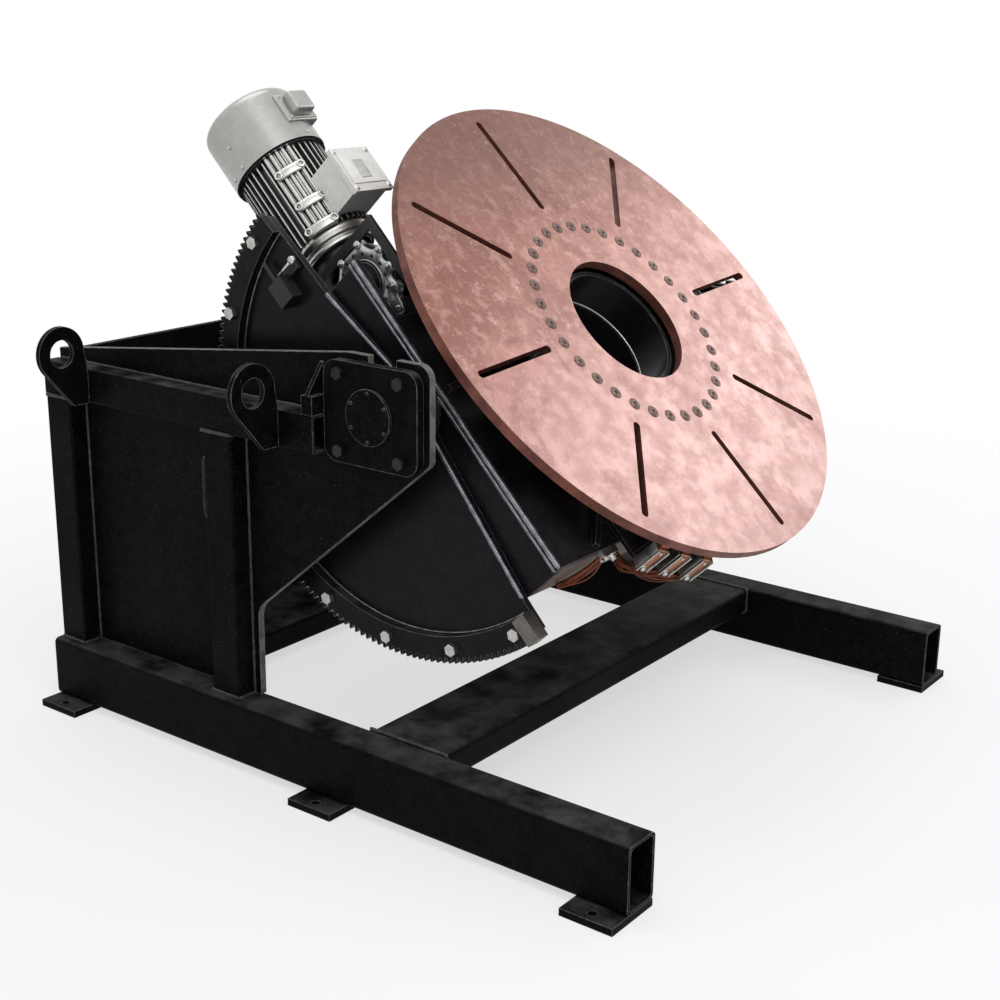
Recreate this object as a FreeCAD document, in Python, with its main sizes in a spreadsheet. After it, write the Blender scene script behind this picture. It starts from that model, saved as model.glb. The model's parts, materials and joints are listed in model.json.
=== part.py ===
"""Welding positioner: a tilting head with a rotating face table on a welded floor frame.

Millimetres, +Z up. The open front of the frame faces -Y and the tilt axis runs along X.
Origin: middle of the frame's footprint, on the floor.
On the tilting head, v runs along the table's face (up the slope) and n out of the face.
"""
import FreeCAD, Part
import math
import os
import re

import Sketcher
from FreeCAD import Placement, Rotation, Vector

DOC = FreeCAD.newDocument("WeldingPositioner")
SHEET = DOC.addObject("Spreadsheet::Sheet", "Sizes")

SIZES = {
    # floor frame: skids, feet and cross members
    "skid_gap": 1586.0,
    "skid_wide": 112.0,
    "skid_tall": 180.0,
    "skid_long": 2060.0,
    "tube_wall": 8.0,
    "tube_round": 15.0,
    "foot_thick": 20.0,
    "foot_long": 150.0,
    "foot_out": 62.0,
    "anchor_hole": 24.0,
    "anchor_out": 33.0,
    "foot_middle_y": -75.0,
    "member_wide": 255.0,
    "member_tall": 80.0,
    "member_y": -401.0,
    "rear_member_wide": 276.0,
    # posts and rails
    "post_wide": 60.0,
    "post_deep": 105.0,
    "post_top": 950.0,
    "post_front_y": 268.5,
    "rail_tall": 100.0,
    "rail_start_y": -31.0,
    "box_wall": 6.0,
    "box_round": 8.0,
    # side plates
    "plate_thick": 20.0,
    "plate_rear_top": 1078.0,
    "plate_top": 1214.0,
    "plate_top_y": -100.0,
    "plate_front_y": -365.0,
    "plate_front_z": 966.0,
    "plate_throat_y": 245.0,
    "plate_throat_z": 456.0,
    "notch_rear_y": -169.0,
    "notch_front_y": -259.0,
    "notch_deep": 24.0,
    "nose_round": 38.0,
    "chin_round": 26.0,
    "throat_round": 60.0,
    "window_y": 315.0,
    "window_z": 670.0,
    "window_wide": 130.0,
    "window_tall": 190.0,
    "window_round": 30.0,
    "wall_thick": 16.0,
    "wall_top": 1070.0,
    # lifting lugs
    "lug_thick": 15.0,
    "lug_front_y": 88.0,
    "lug_rear_y": 834.0,
    "lug_out": 84.0,
    "lug_eye_z": 1106.0,
    "lug_head_radius": 76.0,
    "lug_hole_radius": 39.0,
    "lug_tip_out": 52.0,
    "lug_tip_z": 953.0,
    # gusset on each rail's front end
    "gusset_long": 37.0,
    "gusset_tall": 50.0,
    "gusset_rib": 12.0,
    "gusset_apex": 80.0,
    # tilt axis and its bearings
    "axis_y": -192.0,
    "axis_z": 1066.0,
    "tilt_rest": 46.0,
    "bearing_thick": 25.0,
    "bearing_front": 153.0,
    "bearing_up": 131.0,
    "bearing_round": 40.0,
    "bearing_bolt_at": 99.0,
    "bearing_bolt_radius": 10.0,
    "bearing_ring_radius": 105.0,
    "bearing_ring_long": 40.0,
    "journal_radius": 60.0,
    "journal_clear": 0.05,
    "plate_hole_radius": 70.0,
    "trunnion_flange_radius": 100.0,
    "trunnion_flange": 25.0,
    "cap_radius": 72.0,
    "cap_thick": 8.0,
    "cap_screw_at": 62.0,
    "cap_screw_radius": 4.0,
    # box of the tilting head
    "head_plate": 20.0,
    "head_half": 681.0,
    "head_front": 110.0,
    "head_low": -566.0,
    "head_high": 385.0,
    "head_back_low": -44.0,
    "head_back_high": -27.0,
    "sector_radius": 654.0,
    "sector_apex_v": 50.0,
    "sector_apex_n": 25.0,
    "sector_end_n": -47.0,
    # gear segments
    "segment_module": 6.5,
    "segment_teeth": 205.0,
    "segment_thick": 25.0,
    "segment_inner": 600.0,
    "segment_start": -3.5,
    "segment_end": -176.0,
    "segment_bolt_radius": 634.0,
    "segment_bolt_start": -10.5,
    "segment_bolt_step": 20.0,
    "segment_bolt_shank": 10.0,
    "stop_inner": 603.0,
    "stop_outer": 677.0,
    "stop_low": -59.0,
    "stop_high": -16.0,
    "stop_thick": 40.0,
    "backlash": 0.5,
    # tilt drive
    "pinion_teeth": 17.0,
    "pinion_wide": 35.0,
    "shaft_angle": -40.5,
    "shaft_radius": 30.0,
    "shaft_clear": 0.05,
    "shaft_bearing_radius": 62.0,
    "shaft_bearing_long": 55.0,
    "shaft_bearing_flange": 90.0,
    "shaft_bearing_flange_thick": 15.0,
    "tilt_reducer_x": 330.0,
    "tilt_reducer_wide": 190.0,
    "tilt_reducer_radius": 95.0,
    "tilt_worm_drop": 90.0,
    "tilt_worm_radius": 55.0,
    "tilt_motor_radius": 85.0,
    "tilt_motor_long": 300.0,
    "tilt_flange": 18.0,
    "tilt_flange_radius": 92.0,
    "bracket_thick": 16.0,
    # slewing ring
    "table_v": -32.0,
    "ring_module": 6.0,
    "ring_teeth": 132.0,
    "ring_tall": 50.0,
    "ring_outer_bore": 296.0,
    "ring_inner_outer": 292.0,
    "ring_inner_bore": 232.0,
    "ring_step": 10.0,
    "ball_radius": 11.0,
    "ball_clear": 0.15,
    "ball_count": 36.0,
    "pedestal_inner": 215.0,
    "tube_outer": 192.0,
    "tube_inner": 180.0,
    "tube_below_face": 38.5,
    "rib_thick": 16.0,
    "rib_inner_tall": 55.0,
    "rib_outer_tall": 14.0,
    # table
    "table_face": 253.5,
    "table_thick": 28.0,
    "table_radius": 750.0,
    "table_bore": 198.5,
    "table_phase": 3.9,
    "slot_count": 8.0,
    "slot_wide": 22.0,
    "slot_start": 390.0,
    "slot_end": 708.0,
    "screw_count": 32.0,
    "screw_at": 323.6,
    "screw_radius": 10.0,
    "screw_head_radius": 19.0,
    "screw_head_tall": 10.0,
    "screw_long": 60.0,
    "screw_clear": 0.15,
    # rotation drive
    "slew_pinion_teeth": 22.0,
    "slew_pinion_wide": 44.0,
    "slew_shaft_radius": 30.0,
    "slew_shaft_low": 10.0,
    "drive_x": -400.0,
    "motor_n": -147.0,
    "worm_offset": 77.0,
    "second_stage": 80.0,
    "reducer_v": 392.0,
    "reducer_radius": 93.0,
    "reducer_outer_face": 95.0,
    "reducer_inner_face": 55.0,
    "reducer_cover": 6.0,
    "reducer_cover_radius": 60.0,
    "reducer_face_n": -32.0,
    "reducer_face_radius": 105.0,
    "reducer_face": 14.0,
    "reducer_foot_radius": 42.0,
    "reducer_foot_v": 255.0,
    "reducer_foot_n": 18.0,
    # open corner of the head over the reducer, and the flat bars round it
    "corner_low": 200.0,
    "corner_inner": 456.0,
    "bar_wide": 27.0,
    "bar_thick": 12.0,
    "bar_high_v": 513.0,
    "bar_high_n": 109.0,
    "bar_low_n": -185.0,
    "worm_tube_radius": 60.0,
    "worm_tube_start": 320.0,
    "input_flange_v": 500.0,
    "input_flange": 20.0,
    "input_flange_radius": 100.0,
    "bell_radius": 88.0,
    "motor_flange_radius": 118.0,
    "motor_flange": 16.0,
    "gearbox_radius": 108.0,
    "gearbox_low": -140.0,
    "gearbox_high": 5.0,
    "neck_radius": 46.0,
    "neck_flange_radius": 100.0,
    "neck_flange": 18.0,
    "motor_start_v": 600.0,
    "motor_fins_long": 265.0,
    "motor_radius": 112.0,
    "fin_tip_radius": 131.0,
    "fin_count": 40.0,
    "fin_thick": 4.0,
    "cowl_gap": 8.0,
    "cowl_long": 190.0,
    "cowl_radius": 142.0,
    "cowl_round": 30.0,
    "terminal_v": 678.0,
    "terminal_long": 145.0,
    "terminal_wide": 150.0,
    "terminal_top": 87.0,
    "terminal_lid": 14.0,
    "terminal_inset": 8.0,
    # limit switch on the left sector plate
    "switch_v": 430.0,
    "switch_long": 70.0,
    "switch_n": -150.0,
    "switch_tall": 56.0,
    "switch_deep": 40.0,
    "switch_bar": 16.0,
    "switch_rod_radius": 6.0,
    "switch_rod_long": 65.0,
    # earth brushes
    "brush_radius": 728.0,
    "brush_angle": -117.6,
    "brush_pitch": 77.0,
    "brush_wide": 26.0,
    "brush_deep": 16.0,
    "brush_gap": 0.3,
    "brush_travel": 6.0,
    "holder_wide": 36.0,
    "holder_deep": 28.0,
    "holder_low": 110.0,
    "holder_high": 205.0,
    "brush_back": 150.0,
    "earth_plate": 12.0,
    "earth_lap": 60.0,
    "braid_radius": 4.5,
    "braid_drop": 22.0,
    "clamp_x": -470.0,
    "clamp_n": 96.0,
    "clamp_long": 64.0,
    "clamp_deep": 18.0,
    "clamp_tall": 24.0,
    "clamp_bolt": 8.0,
    "strap_end_n": -20.0,
    "gland_x": -560.0,
    "gland_v": 120.0,
    "gland_radius": 24.0,
    "gland_seat": 14.0,
    "gland_tall": 34.0,
}

for row, (name, value) in enumerate(SIZES.items(), start=1):
    SHEET.set(f"A{row}", name)
    SHEET.set(f"B{row}", str(value))
    SHEET.setAlias(f"B{row}", name)
DOC.recompute()


# ---------------------------------------------------------------- sizes into shapes

def formula(text):
    """A formula with every size name read from the sheet."""
    return re.sub(r"[a-z_]+", lambda word: f"Sizes.{word[0]}" if word[0] in SIZES else word[0], str(text))


def number(text):
    """The value of a formula of size names."""
    return float(SHEET.evalExpression(formula(text)))


def bind(item, **formulas):
    """Bind an item's properties to formulas of size names."""
    for prop, text in formulas.items():
        item.setExpression(prop, formula(text))
    return item


def at(item, x=0, y=0, z=0):
    """Put an item's origin at a point given by three formulas."""
    for axis, text in zip("xyz", (x, y, z)):
        item.setExpression(f"Placement.Base.{axis}", formula(text))
    return item


def on_head(item, x=0, v=0, n=0):
    """Carry an item on the tilting head, its origin at (x, v, n) of the head."""
    item.Placement = Placement(Vector(), Rotation(Vector(1, 0, 0), 1))
    item.setExpression("Placement.Rotation.Angle", formula("tilt_rest"))
    y = f"axis_y + ({v}) * cos(tilt_rest) - ({n}) * sin(tilt_rest)"
    z = f"axis_z + ({v}) * sin(tilt_rest) + ({n}) * cos(tilt_rest)"
    return at(item, x, y, z)


def head_placement():
    """The head's placement for shapes that are computed in head coordinates."""
    turn = Rotation(Vector(1, 0, 0), number("tilt_rest"))
    return Placement(Vector(0, number("axis_y"), number("axis_z")), turn)


# ---------------------------------------------------------------- primitives and booleans

TURNS = {"x": Rotation(Vector(0, 1, 0), 90), "y": Rotation(Vector(1, 0, 0), -90), "z": Rotation()}


def block(name, x, y, z):
    """A box from three pairs of formulas, low and high."""
    item = DOC.addObject("Part::Box", name)
    bind(item, Length=f"({x[1]}) - ({x[0]})", Width=f"({y[1]}) - ({y[0]})", Height=f"({z[1]}) - ({z[0]})")
    return at(item, x[0], y[0], z[0])


def across(axis, span, centre):
    """The origin of a round piece along an axis that starts at span[0] on a centre line."""
    a, b = centre
    return {"x": (span[0], a, b), "y": (a, span[0], b), "z": (a, b, span[0])}[axis]


def rod(name, radius, axis, span, centre=(0, 0)):
    """A cylinder along an axis from span[0] to span[1]."""
    item = DOC.addObject("Part::Cylinder", name)
    item.Placement.Rotation = TURNS[axis]
    bind(item, Radius=radius, Height=f"({span[1]}) - ({span[0]})")
    return at(item, *across(axis, span, centre))


def taper(name, start_radius, end_radius, axis, span, centre=(0, 0)):
    """A cone along an axis from span[0] to span[1]."""
    item = DOC.addObject("Part::Cone", name)
    item.Placement.Rotation = TURNS[axis]
    bind(item, Radius1=start_radius, Radius2=end_radius, Height=f"({span[1]}) - ({span[0]})")
    return at(item, *across(axis, span, centre))


def hexagon(name, radius, axis, span, centre=(0, 0)):
    """A hexagonal bar, such as a bolt's head, along an axis."""
    item = DOC.addObject("Part::Prism", name)
    item.Placement.Rotation = TURNS[axis]
    item.Polygon = 6
    bind(item, Circumradius=radius, Height=f"({span[1]}) - ({span[0]})")
    return at(item, *across(axis, span, centre))


def join(name, items):
    """Items fused into one piece."""
    item = DOC.addObject("Part::MultiFuse", name)
    item.Shapes = items
    item.Refine = True
    return item


def group(name, items):
    """Separate pieces kept in one node."""
    item = DOC.addObject("Part::Compound", name)
    item.Links = items
    return item


def cut(name, base, tools):
    """A piece with every tool cut away."""
    item = DOC.addObject("Part::Cut", name)
    item.Base = base
    item.Tool = tools[0] if len(tools) == 1 else group(f"{name}_tools", tools)
    return item


def pipe(name, outer, inner, axis, span, centre=(0, 0)):
    """A round tube along an axis."""
    solid = rod(f"{name}_outside", outer, axis, span, centre)
    return cut(name, solid, [rod(f"{name}_inside", inner, axis, span, centre)])


# ---------------------------------------------------------------- sketched bodies

SKETCH_AXES = {"XY_Plane": ("x", "y", "z"), "YZ_Plane": ("y", "z", "x"), "XZ_Plane": ("x", "z", "y")}


def sketch_on(body, role):
    """A sketch on one of a body's own origin planes."""
    sketch = body.newObject("Sketcher::SketchObject", f"{body.Name}_sketch")
    plane = next(item for item in body.Origin.OriginFeatures if item.Role == role)
    sketch.AttachmentSupport = [(plane, "")]
    sketch.MapMode = "FlatFace"
    return sketch


def hold(sketch, kind, geometry, vertex, text):
    """Hold a sketch vertex at a formula's distance from the origin."""
    rule = Sketcher.Constraint(kind, -1, 1, geometry, vertex, number(text))
    sketch.setExpression(f"Constraints[{sketch.addConstraint(rule)}]", formula(text))


def draw_polygon(sketch, corners):
    """A closed outline through corners given as pairs of formulas."""
    first = sketch.GeometryCount
    points = [Vector(number(a), number(b), 0) for a, b in corners]
    count = len(points)
    for i, start in enumerate(points):
        sketch.addGeometry(Part.LineSegment(start, points[(i + 1) % count]), False)
    for i, (a, b) in enumerate(corners):
        sketch.addConstraint(Sketcher.Constraint("Coincident", first + i, 2, first + (i + 1) % count, 1))
        hold(sketch, "DistanceX", first + i, 1, a)
        hold(sketch, "DistanceY", first + i, 1, b)


def draw_circle(sketch, radius, centre=("0", "0")):
    """A circle with its radius and centre given by formulas."""
    middle = Vector(number(centre[0]), number(centre[1]), 0)
    index = sketch.addGeometry(Part.Circle(middle, Vector(0, 0, 1), number(radius)), False)
    rule = sketch.addConstraint(Sketcher.Constraint("Radius", index, number(radius)))
    sketch.setExpression(f"Constraints[{rule}]", formula(radius))
    hold(sketch, "DistanceX", index, 3, centre[0])
    hold(sketch, "DistanceY", index, 3, centre[1])


def pad(body, sketch, length):
    """The sketch's outline made solid."""
    feature = body.newObject("PartDesign::Pad", f"{body.Name}_pad")
    feature.Profile = sketch
    return bind(feature, Length=length)


def round_corners(body, base, role, corners, radius):
    """Round the edges that stand on the named corners of a padded outline."""
    DOC.recompute()
    flat_a, flat_b, along = SKETCH_AXES[role]
    wanted = [(number(a), number(b)) for a, b in corners]
    names = []
    for index, edge in enumerate(base.Shape.Edges, start=1):
        ends = [vertex.Point for vertex in edge.Vertexes]
        if len(ends) != 2 or abs(getattr(ends[0], along) - getattr(ends[1], along)) < 1:
            continue
        spots = {(round(getattr(end, flat_a), 3), round(getattr(end, flat_b), 3)) for end in ends}
        if len(spots) != 1:
            continue
        spot = spots.pop()
        if any(math.dist(spot, corner) < 0.01 for corner in wanted):
            names.append(f"Edge{index}")
    fillet = body.newObject("PartDesign::Fillet", f"{body.Name}_round")
    fillet.Base = (base, names)
    return bind(fillet, Radius=radius)


def plate(name, role, corners, thick, rounds=(), holes=()):
    """A flat plate: a polygon padded, some corners rounded, round holes through it."""
    body = DOC.addObject("PartDesign::Body", name)
    sketch = sketch_on(body, role)
    draw_polygon(sketch, corners)
    for radius, centre in holes:
        draw_circle(sketch, radius, centre)
    last = pad(body, sketch, thick)
    for picks, radius in rounds:
        last = round_corners(body, last, role, [corners[i] for i in picks], radius)
    return body


def rectangle(a, b):
    """The four corners of a rectangle from two pairs of formulas."""
    return [(a[0], b[0]), (a[1], b[0]), (a[1], b[1]), (a[0], b[1])]


def square_tube(name, role, a, b, length, wall, bend):
    """A rectangular hollow section: rounded outline with a rounded hollow."""
    body = DOC.addObject("PartDesign::Body", name)
    outside = rectangle(a, b)
    inside = rectangle((f"{a[0]} + {wall}", f"{a[1]} - {wall}"), (f"{b[0]} + {wall}", f"{b[1]} - {wall}"))
    sketch = sketch_on(body, role)
    draw_polygon(sketch, outside)
    draw_polygon(sketch, inside)
    hollow = pad(body, sketch, length)
    rounded = round_corners(body, hollow, role, outside, bend)
    round_corners(body, rounded, role, inside, f"{bend} - {wall} / 2")
    return body


# ---------------------------------------------------------------- gears

def involute(angle):
    """The involute function of a pressure angle."""
    return math.tan(angle) - angle


def tooth_half_angle(module, teeth, radius, play):
    """Half the angle that a 20-degree involute tooth fills at a radius."""
    pitch = module * teeth / 2
    pressure = math.radians(20)
    base = pitch * math.cos(pressure)
    half = (math.pi * module / 2 - play) / 2 / pitch
    here = math.acos(min(1.0, base / radius))
    return half + involute(pressure) - involute(here)


def tooth_points(module, teeth, middle, play):
    """One tooth's outline from root to root, round the angle of its middle."""
    pitch = module * teeth / 2
    root = pitch - 1.25 * module
    base = pitch * math.cos(math.radians(20))
    low = max(root, base)
    radii = [low + (pitch + module - low) * step for step in (0.0, 0.3, 0.65, 1.0)]
    flank = [(radius, tooth_half_angle(module, teeth, radius, play)) for radius in radii]
    if root < low:
        flank.insert(0, (root, flank[0][1]))
    rising = [(radius, middle - half) for radius, half in flank]
    falling = [(radius, middle + half) for radius, half in reversed(flank)]
    return [Vector(radius * math.cos(a), radius * math.sin(a), 0) for radius, a in rising + falling]


def gear_solid(module, teeth, first_tooth, play, wide, bore):
    """A full spur gear with its axis on Z; first_tooth is a tooth's angle in degrees."""
    points = []
    for k in range(int(teeth)):
        points += tooth_points(module, teeth, math.radians(first_tooth) + 2 * math.pi * k / teeth, play)
    solid = Part.Face(Part.makePolygon(points + points[:1])).extrude(Vector(0, 0, wide))
    return solid.cut(Part.makeCylinder(bore, wide))


def computed(name, shape, placement=None):
    """A feature whose shape is computed from the sheet."""
    item = DOC.addObject("Part::Feature", name)
    item.Shape = shape
    if placement is not None:
        item.Placement = placement
    return item


# ---------------------------------------------------------------- the floor frame

SIDES = {"left": -1, "right": 1}
SKID_INNER = "skid_gap / 2"
SKID_OUTER = "skid_gap / 2 + skid_wide"
FRAME_HALF = "skid_long / 2"
SKID_TOP = "foot_thick + skid_tall"
PLATE_OUTER = "skid_gap / 2 + plate_thick"
POST_OUTER = "skid_gap / 2 + plate_thick + post_wide"
RAIL_TOP = "post_top + rail_tall"


def side_span(sign, inner, outer):
    """A span along X on one side of the machine, low then high."""
    return (inner, outer) if sign > 0 else (f"-({outer})", f"-({inner})")


def skid(side, sign):
    """A floor runner with open ends."""
    x = side_span(sign, SKID_INNER, SKID_OUTER)
    body = square_tube(f"skid_{side}", "XZ_Plane", x, ("foot_thick", SKID_TOP), "skid_long",
                       "tube_wall", "tube_round")
    return at(body, 0, FRAME_HALF)


def foot_plates():
    """Six plates under the skids, each with an anchor hole outboard."""
    feet = []
    places = [f"-{FRAME_HALF} + foot_long / 2", "foot_middle_y", f"{FRAME_HALF} - foot_long / 2"]
    for side, sign in SIDES.items():
        x = side_span(sign, SKID_INNER, f"{SKID_OUTER} + foot_out")
        hole_x = f"{sign} * ({SKID_OUTER} + anchor_out)"
        for k, y in enumerate(places):
            name = f"foot_{side}_{k}"
            slab = block(f"{name}_slab", x, (f"{y} - foot_long / 2", f"{y} + foot_long / 2"),
                         ("0", "foot_thick"))
            hole = rod(f"{name}_hole", "anchor_hole / 2", "z", ("0", "foot_thick"), (hole_x, y))
            feet.append(cut(name, slab, [hole]))
    return group("foot_plates", feet)


def cross_member(name, low, high, bottom):
    """A flat tube between the skids' inner faces."""
    body = square_tube(name, "YZ_Plane", (low, high), (bottom, f"{bottom} + member_tall"), "skid_gap",
                       "tube_wall", "tube_round")
    return at(body, f"-{SKID_INNER}")


def post(side, sign, end, low):
    """A post from the skid up to the rail, outboard of the side plate."""
    x = side_span(sign, PLATE_OUTER, POST_OUTER)
    body = square_tube(f"post_{side}_{end}", "XY_Plane", x, (low, f"{low} + post_deep"),
                       f"post_top - ({SKID_TOP})",
                       "box_wall", "box_round")
    return at(body, 0, 0, SKID_TOP)


def rail(side, sign):
    """The rail along the top of the posts."""
    x = side_span(sign, PLATE_OUTER, POST_OUTER)
    body = square_tube(f"rail_{side}", "XZ_Plane", x, ("post_top", RAIL_TOP), f"{FRAME_HALF} - rail_start_y",
                       "box_wall", "box_round")
    return at(body, 0, FRAME_HALF)


def side_plate(side, sign):
    """The plate that carries the tilt bearing, with a notch on top and a window near the posts."""
    corners = [
        (FRAME_HALF, SKID_TOP),
        (FRAME_HALF, "plate_rear_top"),
        ("plate_top_y", "plate_top"),
        ("notch_rear_y", "plate_top"),
        ("notch_rear_y", "plate_top - notch_deep"),
        ("notch_front_y", "plate_top - notch_deep"),
        ("notch_front_y", "plate_top"),
        ("plate_front_y", "plate_top"),
        ("plate_front_y", "plate_front_z"),
        ("plate_throat_y", "plate_throat_z"),
        ("plate_throat_y", SKID_TOP),
    ]
    window = rectangle(("window_y", "window_y + window_wide"), ("window_z", "window_z + window_tall"))
    body = DOC.addObject("PartDesign::Body", f"side_plate_{side}")
    sketch = sketch_on(body, "YZ_Plane")
    draw_polygon(sketch, corners)
    draw_polygon(sketch, window)
    draw_circle(sketch, "plate_hole_radius", ("axis_y", "axis_z"))
    for y, z in bearing_bolt_places():
        draw_circle(sketch, "bearing_bolt_radius + screw_clear", (y, z))
    last = pad(body, sketch, "plate_thick")
    for picks, radius in (([7], "nose_round"), ([8], "chin_round"), ([9], "throat_round")):
        last = round_corners(body, last, "YZ_Plane", [corners[i] for i in picks], radius)
    round_corners(body, last, "YZ_Plane", window, "window_round")
    return at(body, side_span(sign, SKID_INNER, PLATE_OUTER)[0])


def rear_wall():
    """The plate that closes the back between the side plates."""
    return block("rear_wall", (f"-{SKID_INNER}", SKID_INNER), (f"{FRAME_HALF} - wall_thick", FRAME_HALF),
                 ("foot_thick", "wall_top"))


def lug_shape(sign):
    """An eye plate welded to the rail's outer face, in the XZ plane, thickness along Y."""
    face = number(POST_OUTER)
    eye = Vector(face + number("lug_out"), 0, number("lug_eye_z"))
    tip = Vector(face + number("lug_tip_out"), 0, number("lug_tip_z"))
    radius = number("lug_head_radius")
    reach = eye.sub(tip)
    away = math.sqrt(reach.Length ** 2 - radius ** 2)
    heading = math.atan2(reach.z, reach.x) - math.asin(radius / reach.Length)
    touch = tip.add(Vector(away * math.cos(heading), 0, away * math.sin(heading)))
    rail_top = Vector(face, 0, number(RAIL_TOP))
    points = [Vector(face, 0, tip.z), tip, touch, eye, Vector(eye.x - radius, 0, eye.z), rail_top]
    thick = Vector(0, number("lug_thick"), 0)
    body = Part.Face(Part.makePolygon(points + points[:1])).extrude(thick)
    head = Part.makeCylinder(radius, thick.y, eye, Vector(0, 1, 0))
    hole = Part.makeCylinder(number("lug_hole_radius"), thick.y, eye, Vector(0, 1, 0))
    shape = body.fuse(head).cut(hole).removeSplitter()
    return shape if sign > 0 else shape.mirror(Vector(), Vector(1, 0, 0))


def lifting_lugs():
    """Four lifting eyes, two on each rail."""
    eyes = []
    for side, sign in SIDES.items():
        for end in ("front", "rear"):
            stand = Placement(Vector(0, number(f"lug_{end}_y"), 0), Rotation())
            eyes.append(computed(f"lug_{side}_{end}", lug_shape(sign), stand))
    return group("lifting_lugs", eyes)


def rail_gussets():
    """A block and a triangular rib on each rail's front end, against the side plate."""
    pieces = []
    for side, sign in SIDES.items():
        x = side_span(sign, PLATE_OUTER, POST_OUTER)
        y = ("rail_start_y", "rail_start_y + gusset_long")
        base = block(f"gusset_block_{side}", x, y, (RAIL_TOP, f"{RAIL_TOP} + gusset_tall"))
        foot = f"{RAIL_TOP} + gusset_tall"
        inner, outer = (f"{sign} * ({PLATE_OUTER})", f"{sign} * ({POST_OUTER})")
        rib = plate(f"gusset_rib_{side}", "XZ_Plane",
                    [(inner, foot), (outer, foot), (inner, f"{foot} + gusset_apex")],
                    "gusset_rib")
        at(rib, 0, "rail_start_y + gusset_long / 2 + gusset_rib / 2")
        pieces.append(join(f"gusset_{side}", [base, rib]))
    return group("rail_gussets", pieces)


# ---------------------------------------------------------------- tilt bearings

def bearing_bolt_places():
    """The four bolt centres round the tilt axis."""
    signs = [(-1, -1), (1, -1), (1, 1), (-1, 1)]
    return [(f"axis_y + {a} * bearing_bolt_at", f"axis_z + {b} * bearing_bolt_at") for a, b in signs]


def bearing_plate(side, sign):
    """The thick plate on the side plate's outer face, bored for the trunnion."""
    corners = rectangle(("axis_y - bearing_front", "axis_y + bearing_front"),
                        ("axis_z - bearing_up", "axis_z + bearing_up"))
    holes = [("journal_radius + journal_clear", ("axis_y", "axis_z"))]
    holes += [("bearing_bolt_radius + screw_clear", place) for place in bearing_bolt_places()]
    body = plate(f"bearing_plate_{side}", "YZ_Plane", corners, "bearing_thick",
                 [([0, 1, 2, 3], "bearing_round")], holes)
    return at(body, side_span(sign, PLATE_OUTER, f"{PLATE_OUTER} + bearing_thick")[0])


def bearing_bolts():
    """Hex bolts through the bearing plates and the side plates."""
    bolts = []
    head = f"{PLATE_OUTER} + bearing_thick"
    for side, sign in SIDES.items():
        for k, place in enumerate(bearing_bolt_places()):
            name = f"bearing_bolt_{side}_{k}"
            cap = hexagon(f"{name}_head", "1.7 * bearing_bolt_radius", "x",
                          side_span(sign, head, f"{head} + 1.3 * bearing_bolt_radius"), place)
            shank = rod(f"{name}_shank", "bearing_bolt_radius", "x", side_span(sign, SKID_INNER, head), place)
            nut = hexagon(f"{name}_nut", "1.7 * bearing_bolt_radius", "x",
                          side_span(sign, f"{SKID_INNER} - 1.6 * bearing_bolt_radius", SKID_INNER), place)
            bolts.append(join(name, [cap, shank, nut]))
    return group("bearing_bolts", bolts)


def bearing_caps():
    """A cap over each trunnion's end, with small screws round its edge."""
    caps = []
    face = f"{PLATE_OUTER} + bearing_thick"
    for side, sign in SIDES.items():
        disc = rod(f"cap_disc_{side}", "cap_radius", "x", side_span(sign, face, f"{face} + cap_thick"),
                   ("axis_y", "axis_z"))
        screws = []
        for k in range(6):
            turn = 30 + 60 * k
            place = (f"axis_y + cap_screw_at * cos({turn})", f"axis_z + cap_screw_at * sin({turn})")
            span = side_span(sign, f"{face} + cap_thick / 2", f"{face} + cap_thick + cap_screw_radius")
            screws.append(rod(f"cap_screw_{side}_{k}", "cap_screw_radius", "x", span, place))
        caps.append(join(f"cap_{side}", [disc] + screws))
    return group("bearing_caps", caps)


def tilt_bearings():
    """A bearing ring inside each side plate."""
    rings = []
    for side, sign in SIDES.items():
        span = side_span(sign, f"{SKID_INNER} - bearing_ring_long", SKID_INNER)
        ring = pipe(f"tilt_ring_{side}", "bearing_ring_radius", "journal_radius + journal_clear", "x", span,
                    ("axis_y", "axis_z"))
        rings.append(ring)
    return group("tilt_bearings", rings)


# ---------------------------------------------------------------- tilt drive

PINION_PITCH = "segment_module * pinion_teeth / 2"
SHAFT_FAR = f"segment_module * segment_teeth / 2 + {PINION_PITCH}"
SHAFT_Y = f"axis_y + ({SHAFT_FAR}) * cos(shaft_angle)"
SHAFT_Z = f"axis_z + ({SHAFT_FAR}) * sin(shaft_angle)"
SHAFT_CENTRE = (SHAFT_Y, SHAFT_Z)
GEAR_MIDDLE = "head_half + segment_thick / 2"
REDUCER_LOW = "tilt_reducer_x - tilt_reducer_wide / 2"
REDUCER_HIGH = "tilt_reducer_x + tilt_reducer_wide / 2"


def tilt_shaft():
    """The cross shaft that turns both gear segments."""
    end = f"{SKID_INNER} - head_plate"
    return rod("tilt_shaft", "shaft_radius", "x", (f"-({end})", end), SHAFT_CENTRE)


def tilt_pinions():
    """The two pinions on the cross shaft, one tooth of each pointing at the tilt axis."""
    wide = number("pinion_wide")
    shape = gear_solid(number("segment_module"), number("pinion_teeth"), number("shaft_angle") + 180,
                       number("backlash"), wide, number("shaft_radius"))
    turn = Rotation(Vector(1, 1, 1), 120)
    pinions = []
    for side, sign in SIDES.items():
        start = Vector(sign * number(GEAR_MIDDLE) - wide / 2, number(SHAFT_Y), number(SHAFT_Z))
        pinions.append(computed(f"tilt_pinion_{side}", shape, Placement(start, turn)))
    return group("tilt_pinions", pinions)


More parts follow.
